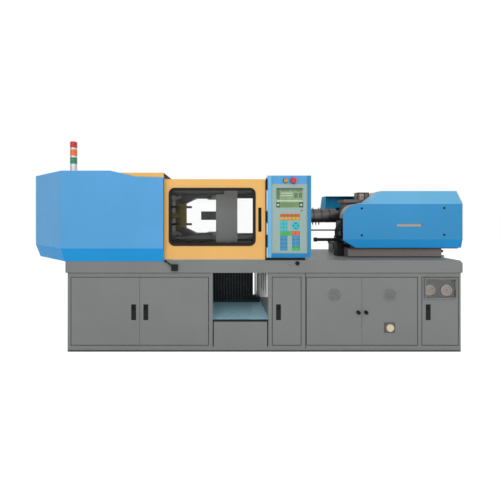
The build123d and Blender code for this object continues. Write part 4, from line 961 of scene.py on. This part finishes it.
class MACHINE_OT_base_shade_seams(bpy.types.Operator):
    """Lay dark strips of painted shade in the gaps under the beam, at the base's joint and round the door
    bays, and the skirt under the base
    """

    bl_idname = "machine.base_seals"
    bl_label = "Base seals"

    def execute(self, context):
        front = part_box("pump_door_left")[0].y
        low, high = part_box("drop_chute")
        seam = BEAM_BOTTOM - SEAL_WIDTH
        strips = (
            ((BASE_LEFT, low.x), (seam, BEAM_BOTTOM)),
            ((high.x, BASE_RIGHT), (seam, BEAM_BOTTOM)),
            ((BASE_JOINT - SEAL_WIDTH / 2, BASE_JOINT + SEAL_WIDTH / 2), (BASE_BOTTOM, seam)),
        )
        # painted shade: dark strips for the shadowed gaps of the beam, the joint and the door bays
        with new_piece("base_seals", "black_trim") as seals:
            for y_pair in ((front - SEAL_PROUD, front), (-front, -front + SEAL_PROUD)):
                for x_pair, z_pair in strips:
                    add_block(seals, x_pair, y_pair, z_pair, SEAL_PROUD / 4)
            for left_door, right_door in DOOR_BAYS:
                low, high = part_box(left_door)[0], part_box(right_door)[1]
                inner = widened((low.x, high.x, low.z, high.z), BAY_REVEAL)
                y_pair = (low.y - SEAL_PROUD, low.y)
                add_frame(seals, inner, widened(inner, BAY_SHADE_WIDTH), y_pair, SEAL_PROUD / 4)
        self.skirt(front)
        return {"FINISHED"}

    def skirt(self, front):
        """Grey skirt plates that close the gap under the base, with a dark strip on the floor side that is
        painted shadow under the base.
        """
        skirt, edge = bmesh.new(), bmesh.new()
        reach = SHEET + SKIRT_SHEET
        for x_pair, y_pair in (
            ((BASE_LEFT, BASE_RIGHT), (front, front + SKIRT_SHEET)),
            ((BASE_LEFT, BASE_RIGHT), (-front - SKIRT_SHEET, -front)),
            ((BASE_LEFT, BASE_LEFT + SKIRT_SHEET), (front + reach, -front - reach)),
            ((BASE_RIGHT - SKIRT_SHEET, BASE_RIGHT), (front + reach, -front - reach)),
        ):
            for mesh, z_pair in ((skirt, (SKIRT_LOW, BASE_BOTTOM)), (edge, (SHEET, SKIRT_LOW))):
                add_block(mesh, x_pair, y_pair, z_pair, SHEET / 3)
        finish_piece(skirt, "base_skirt", "base_grey")
        finish_piece(edge, "base_skirt_edge", "skirt_grey", slot="black_trim")


COVER_BOLTS = {
    # side of the machine, then the places of its bolts in millimetres
    -1: ((1254, 1451), (1254, 1166), (2126, 1171), (2126, 1455)),
    1: ((1254, 1451), (1380, 1166), (2126, 1171), (2126, 1455)),
}
BOLT_SHAPE = (
    # share of the head's radius, then the reach in millimetres
    (1.3, 0),
    (1.3, 1.5),
    (1, 1.5),
    (1, 5),
    (0.8, 6.5),
    (0.5, 6.5),
    (0.5, 3),
)
GRIP_SLOT = mm(1626, 1896, 1258, 1288)
COVER_WALL, TRAY_DEPTH = mm(3, 9)
LINER_RIGHT, LINER_LOW, LINER_TOP, LINER_INSET = mm(1500, 1396, 1606, 65)
RIB_PITCH, RIB_DEPTH = mm(24, 7)
RIB_SHAPE = ((0.0, 0), (0.2, RIB_DEPTH), (0.5, RIB_DEPTH), (0.7, 0))
HOOD_END = (mm(174, 1393), mm(346, 1393), mm(346, 1498), mm(300, 1611), mm(174, 1611))
SHOULDER_START, SHOULDER_END = Vector(mm(1056, 1346)), Vector(mm(1185, 1493))
SHOULDER_STEP, SHOULDER_BULGE, SHOULDER_STEPS = Vector(mm(1334, 1522)), 0.3, 14
SHOULDER_STRIPS = (
    # name, finish, slot, then the strip's two edges across the machine
    ("shoulder_plate", "shoulder_grey", "face_grey", -346 * MM, -262 * MM),
    # painted shade: a black strip for the barrel's shadow on the cover's shoulder
    ("shoulder_seal", "shadow_black", "black_trim", -261 * MM, -174 * MM),
)
CHEEK_NEAR, CHEEK_FAR, CHEEK_LOW, CHEEK_HIGH, CHEEK_SCREW = mm(-347, -291, 1116, 1344, 20)
CHEEK_HEAD = stepped(0, (5, 0), (5, 1), (3, 2.2))
ROOF_EDGE, ROOF_WALL = mm(1752.5, 4.5)


def cover_faces():
    """Each side of the machine with the outer face of its injection cover."""
    return (-1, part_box("injection_cover_front")[0].y), (1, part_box("injection_cover_rear")[1].y)


class MACHINE_OT_cover_fittings(bpy.types.Operator):
    """Add the cover bolts, grip trays, shoulder plate, a ribbed teal sheet of painted shade in the rear hood,
    and a dark end plate of painted shade in the roof
    """

    bl_idname = "machine.cover_fittings"
    bl_label = "Cover fittings"

    def execute(self, context):
        self.bolts()
        self.trays()
        self.liner()
        self.shoulder()
        self.cheek()
        self.roof_end()
        return {"FINISHED"}

    def bolts(self):
        """Socket bolts with a washer at the corners of both injection covers."""
        head = sizes().bolt
        profile = [(head * share, reach * MM) for share, reach in BOLT_SHAPE]
        with new_piece("cover_bolts", "black_trim", "carriage") as bolts:
            for side, face in cover_faces():
                for x, z in COVER_BOLTS[side]:
                    add_turned(bolts, (x * MM, face, z * MM), profile, segments=24, axis=(0, side, 0))

    def trays(self):
        """Pale trays behind the grip slots, where the fingers go in; their pale colour is partly a painted
        highlight in the slots.
        """
        left, right, low, high = GRIP_SLOT
        with new_piece("cover_grip_trays", "tray_pale", "carriage", "face_grey") as trays:
            for side, face in cover_faces():
                near = face - side * COVER_WALL
                back = near - side * TRAY_DEPTH
                for x_pair, z_pair, ends in (
                    ((left, right), (low, high), (back, back - side * SHEET)),
                    ((left, right), (high, high + SHEET), (near, back)),
                    ((left, right), (low - SHEET, low), (near, back)),
                    ((left - SHEET, left), (low, high), (near, back)),
                    ((right, right + SHEET), (low, high), (near, back)),
                ):
                    add_block(trays, x_pair, sorted(ends), z_pair)

    def liner(self):
        """A ribbed teal sheet in the rear cover's hood, seen above the barrel, and a teal plate on the hood's
        left end, both painted shade of the hood's blue inside.
        """
        low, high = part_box("injection_cover_rear")
        back = high.y - LINER_INSET
        outline = []
        for step in range(int((LINER_RIGHT - low.x) / RIB_PITCH)):
            x = low.x + COVER_WALL + step * RIB_PITCH
            for share, deep in RIB_SHAPE:
                outline.append((x + share * RIB_PITCH, back - SHEET - deep))
        outline += [(outline[-1][0], back), (outline[0][0], back)]
        with new_piece("rear_cover_liner", "liner_teal", "carriage", "cover_blue") as liner:
            add_plate(liner, outline, (0, 0, LINER_LOW), X_AXIS, Y_AXIS, LINER_TOP - LINER_LOW)
            add_plate(liner, HOOD_END, (low.x - SHEET, 0, 0), Y_AXIS, Z_AXIS, SHEET)

    def shoulder(self):
        """A grey plate bent over the front cover's shoulder, and beside it a black strip of painted shade."""
        run, rise = (SHOULDER_END - SHOULDER_START) * SHOULDER_BULGE
        bulge = Vector((SHOULDER_START.x + run, SHOULDER_END.y - rise))
        line = [*arc_points(SHOULDER_START, bulge, SHOULDER_END, SHOULDER_STEPS), SHOULDER_STEP]
        outer = []
        for step, point in enumerate(line):
            along = line[min(step + 1, len(line) - 1)] - line[max(step - 1, 0)]
            outer.append(point + Vector((-along.y, along.x)).normalized() * SHEET)
        outline = [tuple(point) for point in line + outer[::-1]]
        for name, finish, slot, near, far in SHOULDER_STRIPS:
            with new_piece(name, finish, "carriage", slot) as strip:
                add_plate(strip, outline, (0, far, 0), X_AXIS, Z_AXIS, far - near)

    def cheek(self):
        """The dark plate with two screws on the front cover's left end, painted shade."""
        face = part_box("injection_cover_front")[0].x
        with new_piece("cover_cheek", "shadow_black", "carriage", "black_trim") as cheek:
            z_pair = (CHEEK_LOW, CHEEK_HIGH)
            add_block(cheek, (face - SHEET, face), (CHEEK_NEAR, CHEEK_FAR), z_pair, SHEET / 3)
            for z in (CHEEK_LOW + CHEEK_SCREW, CHEEK_HIGH - CHEEK_SCREW):
                at = (face - SHEET, (CHEEK_NEAR + CHEEK_FAR) / 2, z)
                add_turned(cheek, at, CHEEK_HEAD, segments=16, axis=(-1, 0, 0))

    def roof_end(self):
        """A dark plate with a hemmed edge in the open end of the roof, painted shade of the roof's underside.
        """
        low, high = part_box("clamp_roof")
        x, top = high.x - 2 * ROOF_WALL, high.z - ROOF_WALL
        y_pair = (low.y + ROOF_WALL, high.y - ROOF_WALL)
        with new_piece("roof_end_plate", "shadow_black", slot="black_trim") as plate:
            add_block(plate, (x, x + SHEET), y_pair, (ROOF_EDGE, top))
            add_block(plate, (x + SHEET, x + 3 * SHEET), y_pair, (top - 4 * SHEET, top), SHEET / 3)


FIELD_PROUD = 0.5 * MM
SCREEN_FIELDS = (
    # finish, then left, right, low and high as shares of the display
    ("screen_shadow", 0.0, 1.0, 0.93, 1.0),
    ("screen_mid", 0.0, 0.12, 0.42, 0.92),
    ("screen_mid", 0.16, 0.5, 0.84, 0.9),
    ("screen_mid", 0.55, 0.96, 0.84, 0.9),
    ("screen_pale", 0.16, 0.6, 0.72, 0.76),
    ("screen_pale", 0.16, 0.6, 0.6, 0.64),
    ("screen_mid", 0.66, 0.8, 0.5, 0.76),
    ("screen_mid", 0.84, 0.96, 0.5, 0.76),
    ("screen_pale", 0.02, 0.98, 0.31, 0.38),
    ("screen_bar", 0.14, 0.84, 0.02, 0.26),
    ("screen_shadow", 0.0, 0.13, 0.0, 0.27),
    ("screen_shadow", 0.85, 1.0, 0.0, 0.27),
)
KEY_FIELDS = (
    # left, right, low and high of each printed field, as shares of the block of keys
    (-0.01, 1.01, 0.93, 1.0),
    (-0.01, 1.01, 0.835, 0.925),
    (-0.01, 0.36, 0.54, 0.825),
    (-0.01, 0.595, 0.418, 0.53),
    (0.605, 1.01, 0.418, 0.53),
    (-0.01, 0.17, 0.0, 0.41),
    (0.19, 0.36, 0.0, 0.41),
    (0.605, 0.79, 0.0, 0.41),
    (0.81, 1.01, 0.0, 0.41),
)
CORNER_LIGHTS = ((0.065, 0.135), (0.925, 0.135))
CORNER_LIGHT = [(11 * MM, 0), (11 * MM, FIELD_PROUD)]
BEZEL_WIDTH, BEZEL_PROUD, COLLAR_OUTER, COLLAR_INNER = mm(5, 3, 4, 1)
JOG_X, JOG_Z, JOG_RADIUS, JOG_PROUD, ARROW_REACH, ARROW_HALF = mm(509, 1273, 41, 3, 29, 10)
JOG_RING = stepped(JOG_RADIUS, (0, -2), (0, 1.5), (-1.5, 3))
JOG_DISH = stepped(JOG_RADIUS / 3, (0, 3), (-1, 2))
ARROW = [(-ARROW_HALF, 0), (ARROW_HALF, 0), (0, ARROW_HALF * 1.2)]
LAMP_X, LAMP_Z = mm(569, 1425)
LAMP_DOME = stepped(0, (8, 0), (8, 2), (5.6, 4), (1.6, 4.6))
HINGE_HEIGHTS = mm(1690, 1360, 1120)
HINGE_HALF, HINGE_REACH, HINGE_EDGE, LIGHT_STRIP_WIDTH, LIGHT_STRIP_INSET = mm(46, 16, 3, 10, 5)
PIN_HALF, LIGHT_STRIP_CLEAR = 1.25 * HINGE_HALF, 1.4 * HINGE_HALF
HINGE_PIN = [(6 * MM, 0), (6 * MM, 2 * PIN_HALF), (4 * MM, 2.6 * HINGE_HALF)]
EDGE_MARGIN, EDGE_PROUD = mm(2.5, 1.5)


def add_field(mesh, low, high, shares, face, edge=0.0):
    """A thin field on a face, placed by shares of a box's width and height."""
    left, right, bottom, top = shares
    span = high - low
    x_pair = (low.x + left * span.x, low.x + right * span.x)
    z_pair = (low.z + bottom * span.z, low.z + top * span.z)
    add_block(mesh, x_pair, (face - FIELD_PROUD, face), z_pair, edge)


class MACHINE_OT_operator_panel(bpy.types.Operator):
    """Add the display fields, key fields, jog pad, lamp, collars, hinges and edges of the operator panel"""

    bl_idname = "machine.operator_panel"
    bl_label = "Operator panel"

    def execute(self, context):
        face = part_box("control_face")[0].y
        self.display(face)
        self.key_fields()
        self.jog_pad(face)
        self.collars(face)
        self.hinges()
        self.edge_strips()
        return {"FINISHED"}

    def display(self, face):
        """Plain fields of a page on the display, and the frame round it."""
        low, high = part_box("control_display")
        fields = defaultdict(bmesh.new)
        for finish, *shares in SCREEN_FIELDS:
            add_field(fields[finish], low, high, shares, low.y)
        for across, up in CORNER_LIGHTS:
            x, z = low.x + across * (high.x - low.x), low.z + up * (high.z - low.z)
            add_turned(fields["screen_pale"], (x, low.y - FIELD_PROUD, z), CORNER_LIGHT, segments=28)
        for finish, mesh in fields.items():
            finish_piece(mesh, f"display_{finish}", finish, slot="screen_green")
        with new_piece("display_bezel", "face_grey") as bezel:
            inner = (low.x, high.x, low.z, high.z)
            add_frame(bezel, inner, widened(inner, BEZEL_WIDTH), (face - BEZEL_PROUD, face), MM)

    def key_fields(self):
        """The printed fields that the keys stand on, in the keys' own colours."""
        low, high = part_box("control_keys")
        with new_piece("key_fields", "key_field", slot="key_caps") as fields:
            for shares in KEY_FIELDS:
                add_field(fields, low, high, shares, high.y, FIELD_PROUD / 4)

    def jog_pad(self, face):
        """The round pad with four arrow marks, and the lamp under the display's corner."""
        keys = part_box("control_keys")[0].y
        with new_piece("jog_pad", "jog_cyan", slot="key_caps") as pad:
            add_turned(pad, (JOG_X, keys, JOG_Z), JOG_RING + JOG_DISH, segments=48)
        with new_piece("jog_arrows", "black_trim") as arrows:
            for turn in range(4):
                angle = turn * pi / 2
                up, across = Vector((sin(angle), 0, cos(angle))), Vector((cos(angle), 0, -sin(angle)))
                origin = Vector((JOG_X, keys - JOG_PROUD, JOG_Z)) + up * (ARROW_REACH - ARROW_HALF)
                add_plate(arrows, ARROW, origin, across, up, FIELD_PROUD)
        with new_piece("ready_lamp", "lamp_brown", slot="lens_red") as lamp:
            add_turned(lamp, (LAMP_X, face, LAMP_Z), LAMP_DOME, segments=24)

    def collars(self, face):
        """Rings on the housing behind the two push buttons."""
        with new_piece("button_collars", "black_trim") as collars:
            for button in ("stop_button", "start_button"):
                low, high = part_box(button)
                radius = (high.x - low.x) / 2
                at = ((low.x + high.x) / 2, face, (low.z + high.z) / 2)
                outer, inner = radius + COLLAR_OUTER, radius + COLLAR_INNER
                ring = stepped(outer, (0, 0), (0, 2), (-1, 3)) + stepped(inner, (0, 3), (0, 0))
                add_turned(collars, at, ring, segments=40, hollow=True)

    def hinges(self):
        """Black hinge blocks with their pins on the panel's left edge, and between them a white strip of
        painted light for the light seen through the gap beside the panel.
        """
        low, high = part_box("control_housing")
        with new_piece("panel_hinges", "black_trim") as hinges:
            x_pair, y_pair = (low.x - HINGE_REACH, low.x), (low.y + HINGE_HALF / 2, low.y + 1.5 * HINGE_HALF)
            for z in HINGE_HEIGHTS:
                add_block(hinges, x_pair, y_pair, (z - HINGE_HALF, z + HINGE_HALF), HINGE_EDGE)
                at = (low.x - HINGE_REACH / 2, low.y + HINGE_HALF, z - PIN_HALF)
                add_turned(hinges, at, HINGE_PIN, segments=20, axis=Z_AXIS)
        # painted light: a white strip for the light seen through the gap
        with new_piece("panel_seal", "liner_white", slot="face_grey") as seal:
            ends = [high.z, *(z + side * LIGHT_STRIP_CLEAR for z in HINGE_HEIGHTS for side in (1, -1)), low.z]
            y_pair = (low.y + LIGHT_STRIP_INSET, low.y + 2 * LIGHT_STRIP_INSET)
            for top, foot in zip(ends[::2], ends[1::2]):
                add_block(seal, (low.x - LIGHT_STRIP_WIDTH, low.x), y_pair, (foot, top), MM)

    def edge_strips(self):
        """Strips on the housing's front, beside the face and below it, in painted light and shade: paler on
        the left as painted light, deeper on the right and at the foot as painted shade.
        """
        low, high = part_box("control_housing")
        face_low, face_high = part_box("control_face")
        for name, finish, *strip in (
            ("left", "edge_pale", low.x, face_low.x, low.z, high.z),
            ("right", "edge_deep", face_high.x, high.x, low.z, high.z),
            ("foot", "edge_foot", face_low.x, face_high.x, low.z, face_low.z),
        ):
            left, right, foot, top = widened(strip, -EDGE_MARGIN)
            with new_piece(f"panel_edge_{name}", finish, slot="cover_blue") as mesh:
                add_block(mesh, (left, right), (low.y - EDGE_PROUD, low.y), (foot, top), EDGE_PROUD / 2)


SWITCH_BOX = mm(-735, -669, 822, 886)
SWITCH_DEPTH, SWITCH_EDGE, SWITCH_SCREW, ARM_HALF, ARM_SHEET = mm(26, 4, 9, 8, 4)
ARM_TIP = 0.7 * ARM_HALF
SWITCH_HEAD = stepped(0, (4, 0), (4, 1), (2.5, 2))
PIVOT_X, PIVOT_Z, ROLLER_X, ROLLER_Z = mm(-719, 868, -790, 921)
PIVOT = stepped(0, (11, 0), (11, 6), (8, 7))
ROLLER = stepped(0, (12, 0), (12, 9), (5, 9), (5, 11))
GLANDS = (
    # place along the machine, height, radius, finish
    (528 * MM, 896 * MM, 23 * MM, "black_trim"),
    (452 * MM, 898 * MM, 13 * MM, "bright_steel"),
)
GLAND_NUT = ((1, 0), (1, 8), (0.9, 9))
GLAND_CAP = ((0.75, 9), (0.75, 17), (0.5, 22), (0.35, 22), (0.35, 12))


class MACHINE_OT_beam_fittings(bpy.types.Operator):
    """Add the door switch with its roller arm and the cable glands on the beam"""

    bl_idname = "machine.beam_fittings"
    bl_label = "Beam fittings"

    def execute(self, context):
        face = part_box("base_frame")[0].y
        front = face - SWITCH_DEPTH
        left, right, low, high = SWITCH_BOX
        with new_piece("door_switch", "black_trim") as switch:
            add_block(switch, (left, right), (front, face), (low, high), SWITCH_EDGE)
            for x in (left + SWITCH_SCREW, right - SWITCH_SCREW):
                for z in (low + SWITCH_SCREW, high - SWITCH_SCREW):
                    add_turned(switch, (x, front, z), SWITCH_HEAD, segments=14)
            pivot, roller = Vector((PIVOT_X, front, PIVOT_Z)), Vector((ROLLER_X, front, ROLLER_Z))
            along, reach = (roller - pivot).normalized(), (roller - pivot).length
            across = Vector(TO_FRONT).cross(along)
            arm = [(0, -ARM_HALF), (reach, -ARM_TIP), (reach, ARM_TIP), (0, ARM_HALF)]
            add_plate(switch, arm, pivot, along, across, ARM_SHEET)
            add_turned(switch, pivot, PIVOT, segments=24)
            add_turned(switch, roller, ROLLER, segments=28)
        for number, (x, z, radius, finish) in enumerate(GLANDS, 1):
            with new_piece(f"beam_gland_{number}", finish) as gland:
                for shape, segments in ((GLAND_NUT, 6), (GLAND_CAP, 28)):
                    profile = [(radius * share, out * MM) for share, out in shape]
                    add_turned(gland, (x, face, z), profile, segments)
        return {"FINISHED"}


BAND_START, BAND_PITCH, BAND_LENGTH, BAND_RADIUS, BARREL_HEIGHT = mm(470, 92, 84.6, 80, 1375)
BAND_COUNT, TERMINAL_BANDS = 7, (0, 2, 4)
STRAP, STRAP_INSET, LUG_HALF, LUG_HEIGHT, TERMINAL_PITCH, TERMINAL_SEAT = mm(7, 4, 10, 13, 36, 2)
STRAP_RING = stepped(BAND_RADIUS, (0, 0), (1.5, 0.5), (1.5, 6.5), (0, 7))
TERMINAL = stepped(0, (7, 0), (7, 14), (4.5, 18), (4.5, 30), (3, 32))
GATE_LEFT, GATE_RIGHT, GATE_FOOT, GATE_FACE, GATE_RIM, GATE_PROUD = mm(1350, 1483, 1559, -40, 9, 3)
SLIDE_PROUD = 2 * MM
SLIDE_KNOB = stepped(0, (6, 0), (5, 8), (9, 11), (9, 17), (6, 19))
SLOPE_FOOT, SLOPE_HEAD = Vector(mm(1450, 0, 1561)), Vector(mm(1521, 0, 1638))
SLOPE_HALF, SLOPE_CORNER, SLOPE_SHEET = mm(168, 6, 3)
SLOPE_PIECES = (
    # name, finish, slot, then start and end as shares of the slope
    ("slope_hem", "black_trim", "black_trim", 0, 0.3),
    ("slope_lid", "tray_pale", "face_grey", 0.3, 1),
)
STOP_WIDTH, STOP_HEIGHT, STOP_EDGE = mm(40, 84, 2)
STOP_RUBBER = stepped(0, (16, 0), (16, 18), (13, 24), (8, 26))


class MACHINE_OT_injection_fittings(bpy.types.Operator):
    """Add the heater clamps and terminals, the gate box's front, the sloped lid and the bed's end stop"""

    bl_idname = "machine.injection_fittings"
    bl_label = "Injection fittings"

    def execute(self, context):
        self.heaters()
        self.gate_front()
        self.sloped_lid()
        self.bed_edges()
        return {"FINISHED"}

    def heaters(self):
        """A clamp strip at both ends of each band, its bolt lug, and the terminals below some bands."""
        straps, terminals = bmesh.new(), bmesh.new()
        top, foot = BARREL_HEIGHT + BAND_RADIUS, BARREL_HEIGHT - BAND_RADIUS + TERMINAL_SEAT
        for band in range(BAND_COUNT):
            start = BAND_START + band * BAND_PITCH
            for x in (start + STRAP_INSET, start + BAND_LENGTH - STRAP_INSET - STRAP):
                add_turned(straps, (x, 0, BARREL_HEIGHT), STRAP_RING, segments=56, axis=X_AXIS, hollow=True)
                add_block(straps, (x, x + STRAP), (-LUG_HALF, LUG_HALF), (top, top + LUG_HEIGHT), MM)
            if band in TERMINAL_BANDS:
                for step in (-1, 0, 1):
                    x = start + BAND_LENGTH / 2 + step * TERMINAL_PITCH
                    add_turned(terminals, (x, 0, foot), TERMINAL, segments=18, axis=(0, 0, -1))
        finish_piece(straps, "heater_straps", "heater_metal", "carriage")
        finish_piece(terminals, "heater_terminals", "black_trim", "carriage")

    def gate_front(self):
        """The rimmed front of the gate box, with its pale slide plate and knob."""
        left, right, foot, top = GATE_LEFT, GATE_RIGHT, GATE_FOOT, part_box("hopper_seat")[1].z
        post = (left + right) / 2 + GATE_RIM
        with new_piece("gate_rim", "black_trim", "carriage") as rim:
            for x_pair, z_pair in (
                ((left, left + GATE_RIM), (foot, top)),
                ((right - GATE_RIM, right), (foot, top)),
                ((left + GATE_RIM, right - GATE_RIM), (top - GATE_RIM, top)),
                ((post, post + GATE_RIM), (foot, top - GATE_RIM)),
            ):
                add_block(rim, x_pair, (GATE_FACE - GATE_PROUD, GATE_FACE), z_pair, MM)
        with new_piece("gate_slide", "tray_pale", "carriage", "face_grey") as slide:
            start, front = left + 3 * GATE_RIM, GATE_FACE - SLIDE_PROUD
            add_block(slide, (start, post), (front, GATE_FACE), (foot + MM, top - 2 * GATE_RIM), MM)
            add_turned(slide, ((start + post) / 2, front, (foot + top) / 2), SLIDE_KNOB, segments=24)

    def sloped_lid(self):
        """A pale sloped lid with a dark lower hem, between the covers behind the gate box."""
        along, reach = (SLOPE_HEAD - SLOPE_FOOT).normalized(), (SLOPE_HEAD - SLOPE_FOOT).length
        for name, finish, slot, start, end in SLOPE_PIECES:
            low, high, tip = start * reach, end * reach, end * reach + SLOPE_SHEET
            outline = [
                (-SLOPE_HALF, low),
                (SLOPE_HALF, low),
                (SLOPE_HALF, high),
                (SLOPE_HALF - SLOPE_CORNER, tip),
                (SLOPE_CORNER - SLOPE_HALF, tip),
                (-SLOPE_HALF, high),
            ]
            with new_piece(name, finish, "carriage", slot) as mesh:
                add_plate(mesh, outline, SLOPE_FOOT, Y_AXIS, along, SLOPE_SHEET)

    def bed_edges(self):
        """A dark seal along the foot of the bed, and the rubber stop at its right end."""
        low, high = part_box("injection_bed")
        with new_piece("bed_seal", "black_trim") as seal:
            z_pair = (low.z, low.z + 2 * SEAL_WIDTH)
            for y_pair in ((low.y - SEAL_PROUD, low.y), (high.y, high.y + SEAL_PROUD)):
                add_block(seal, (low.x, high.x), y_pair, z_pair, SEAL_PROUD / 4)
        with new_piece("bed_stop_bracket", "base_grey") as bracket:
            near = low.y + STOP_WIDTH / 4
            y_pair = (near, near + STOP_WIDTH)
            for width, height in ((STOP_WIDTH, STOP_HEIGHT / 4), (STOP_WIDTH / 4, STOP_HEIGHT)):
                add_block(bracket, (high.x, high.x + width), y_pair, (low.z, low.z + height), STOP_EDGE)
        with new_piece("bed_stop", "black_trim") as buffer:
            at = (high.x + STOP_WIDTH / 4, near + STOP_WIDTH / 2, low.z + STOP_HEIGHT - STOP_WIDTH / 2)
            add_turned(buffer, at, STOP_RUBBER, segments=28, axis=X_AXIS)


class MACHINE_PT_panel(bpy.types.Panel):
    """Lists the steps of the machine's looks"""

    bl_idname = "MACHINE_PT_panel"
    bl_label = "Moulding machine"
    bl_space_type = "VIEW_3D"
    bl_region_type = "UI"
    bl_category = "Moulding machine"

    def draw(self, context):
        for group in (context.scene.machine_colours, context.scene.machine_sizes):
            for name in group.__annotations__:
                self.layout.prop(group, name)
        for step in STEPS:
            self.layout.operator(step.bl_idname)


STEPS = (
    MACHINE_OT_stage,
    MACHINE_OT_finishes,
    MACHINE_OT_cabinet_grips,
    MACHINE_OT_pump_doors,
    MACHINE_OT_pressure_gauges,
    MACHINE_OT_drop_space,
    MACHINE_OT_rear_shade_sheet,
    MACHINE_OT_base_shade_seams,
    MACHINE_OT_cover_fittings,
    MACHINE_OT_operator_panel,
    MACHINE_OT_beam_fittings,
    MACHINE_OT_injection_fittings,
)
CLASSES = (MachineColours, MachineSizes, *STEPS, MACHINE_PT_panel)


def register():
    for item in CLASSES:
        bpy.utils.register_class(item)
    bpy.types.Scene.machine_colours = PointerProperty(type=MachineColours)
    bpy.types.Scene.machine_sizes = PointerProperty(type=MachineSizes)


def unregister():
    del bpy.types.Scene.machine_sizes
    del bpy.types.Scene.machine_colours
    for item in reversed(CLASSES):
        bpy.utils.unregister_class(item)


def main():
    register()
    for step in STEPS:
        group, name = step.bl_idname.split(".")
        getattr(getattr(bpy.ops, group), name)()


if __name__ == "__main__":
    main()
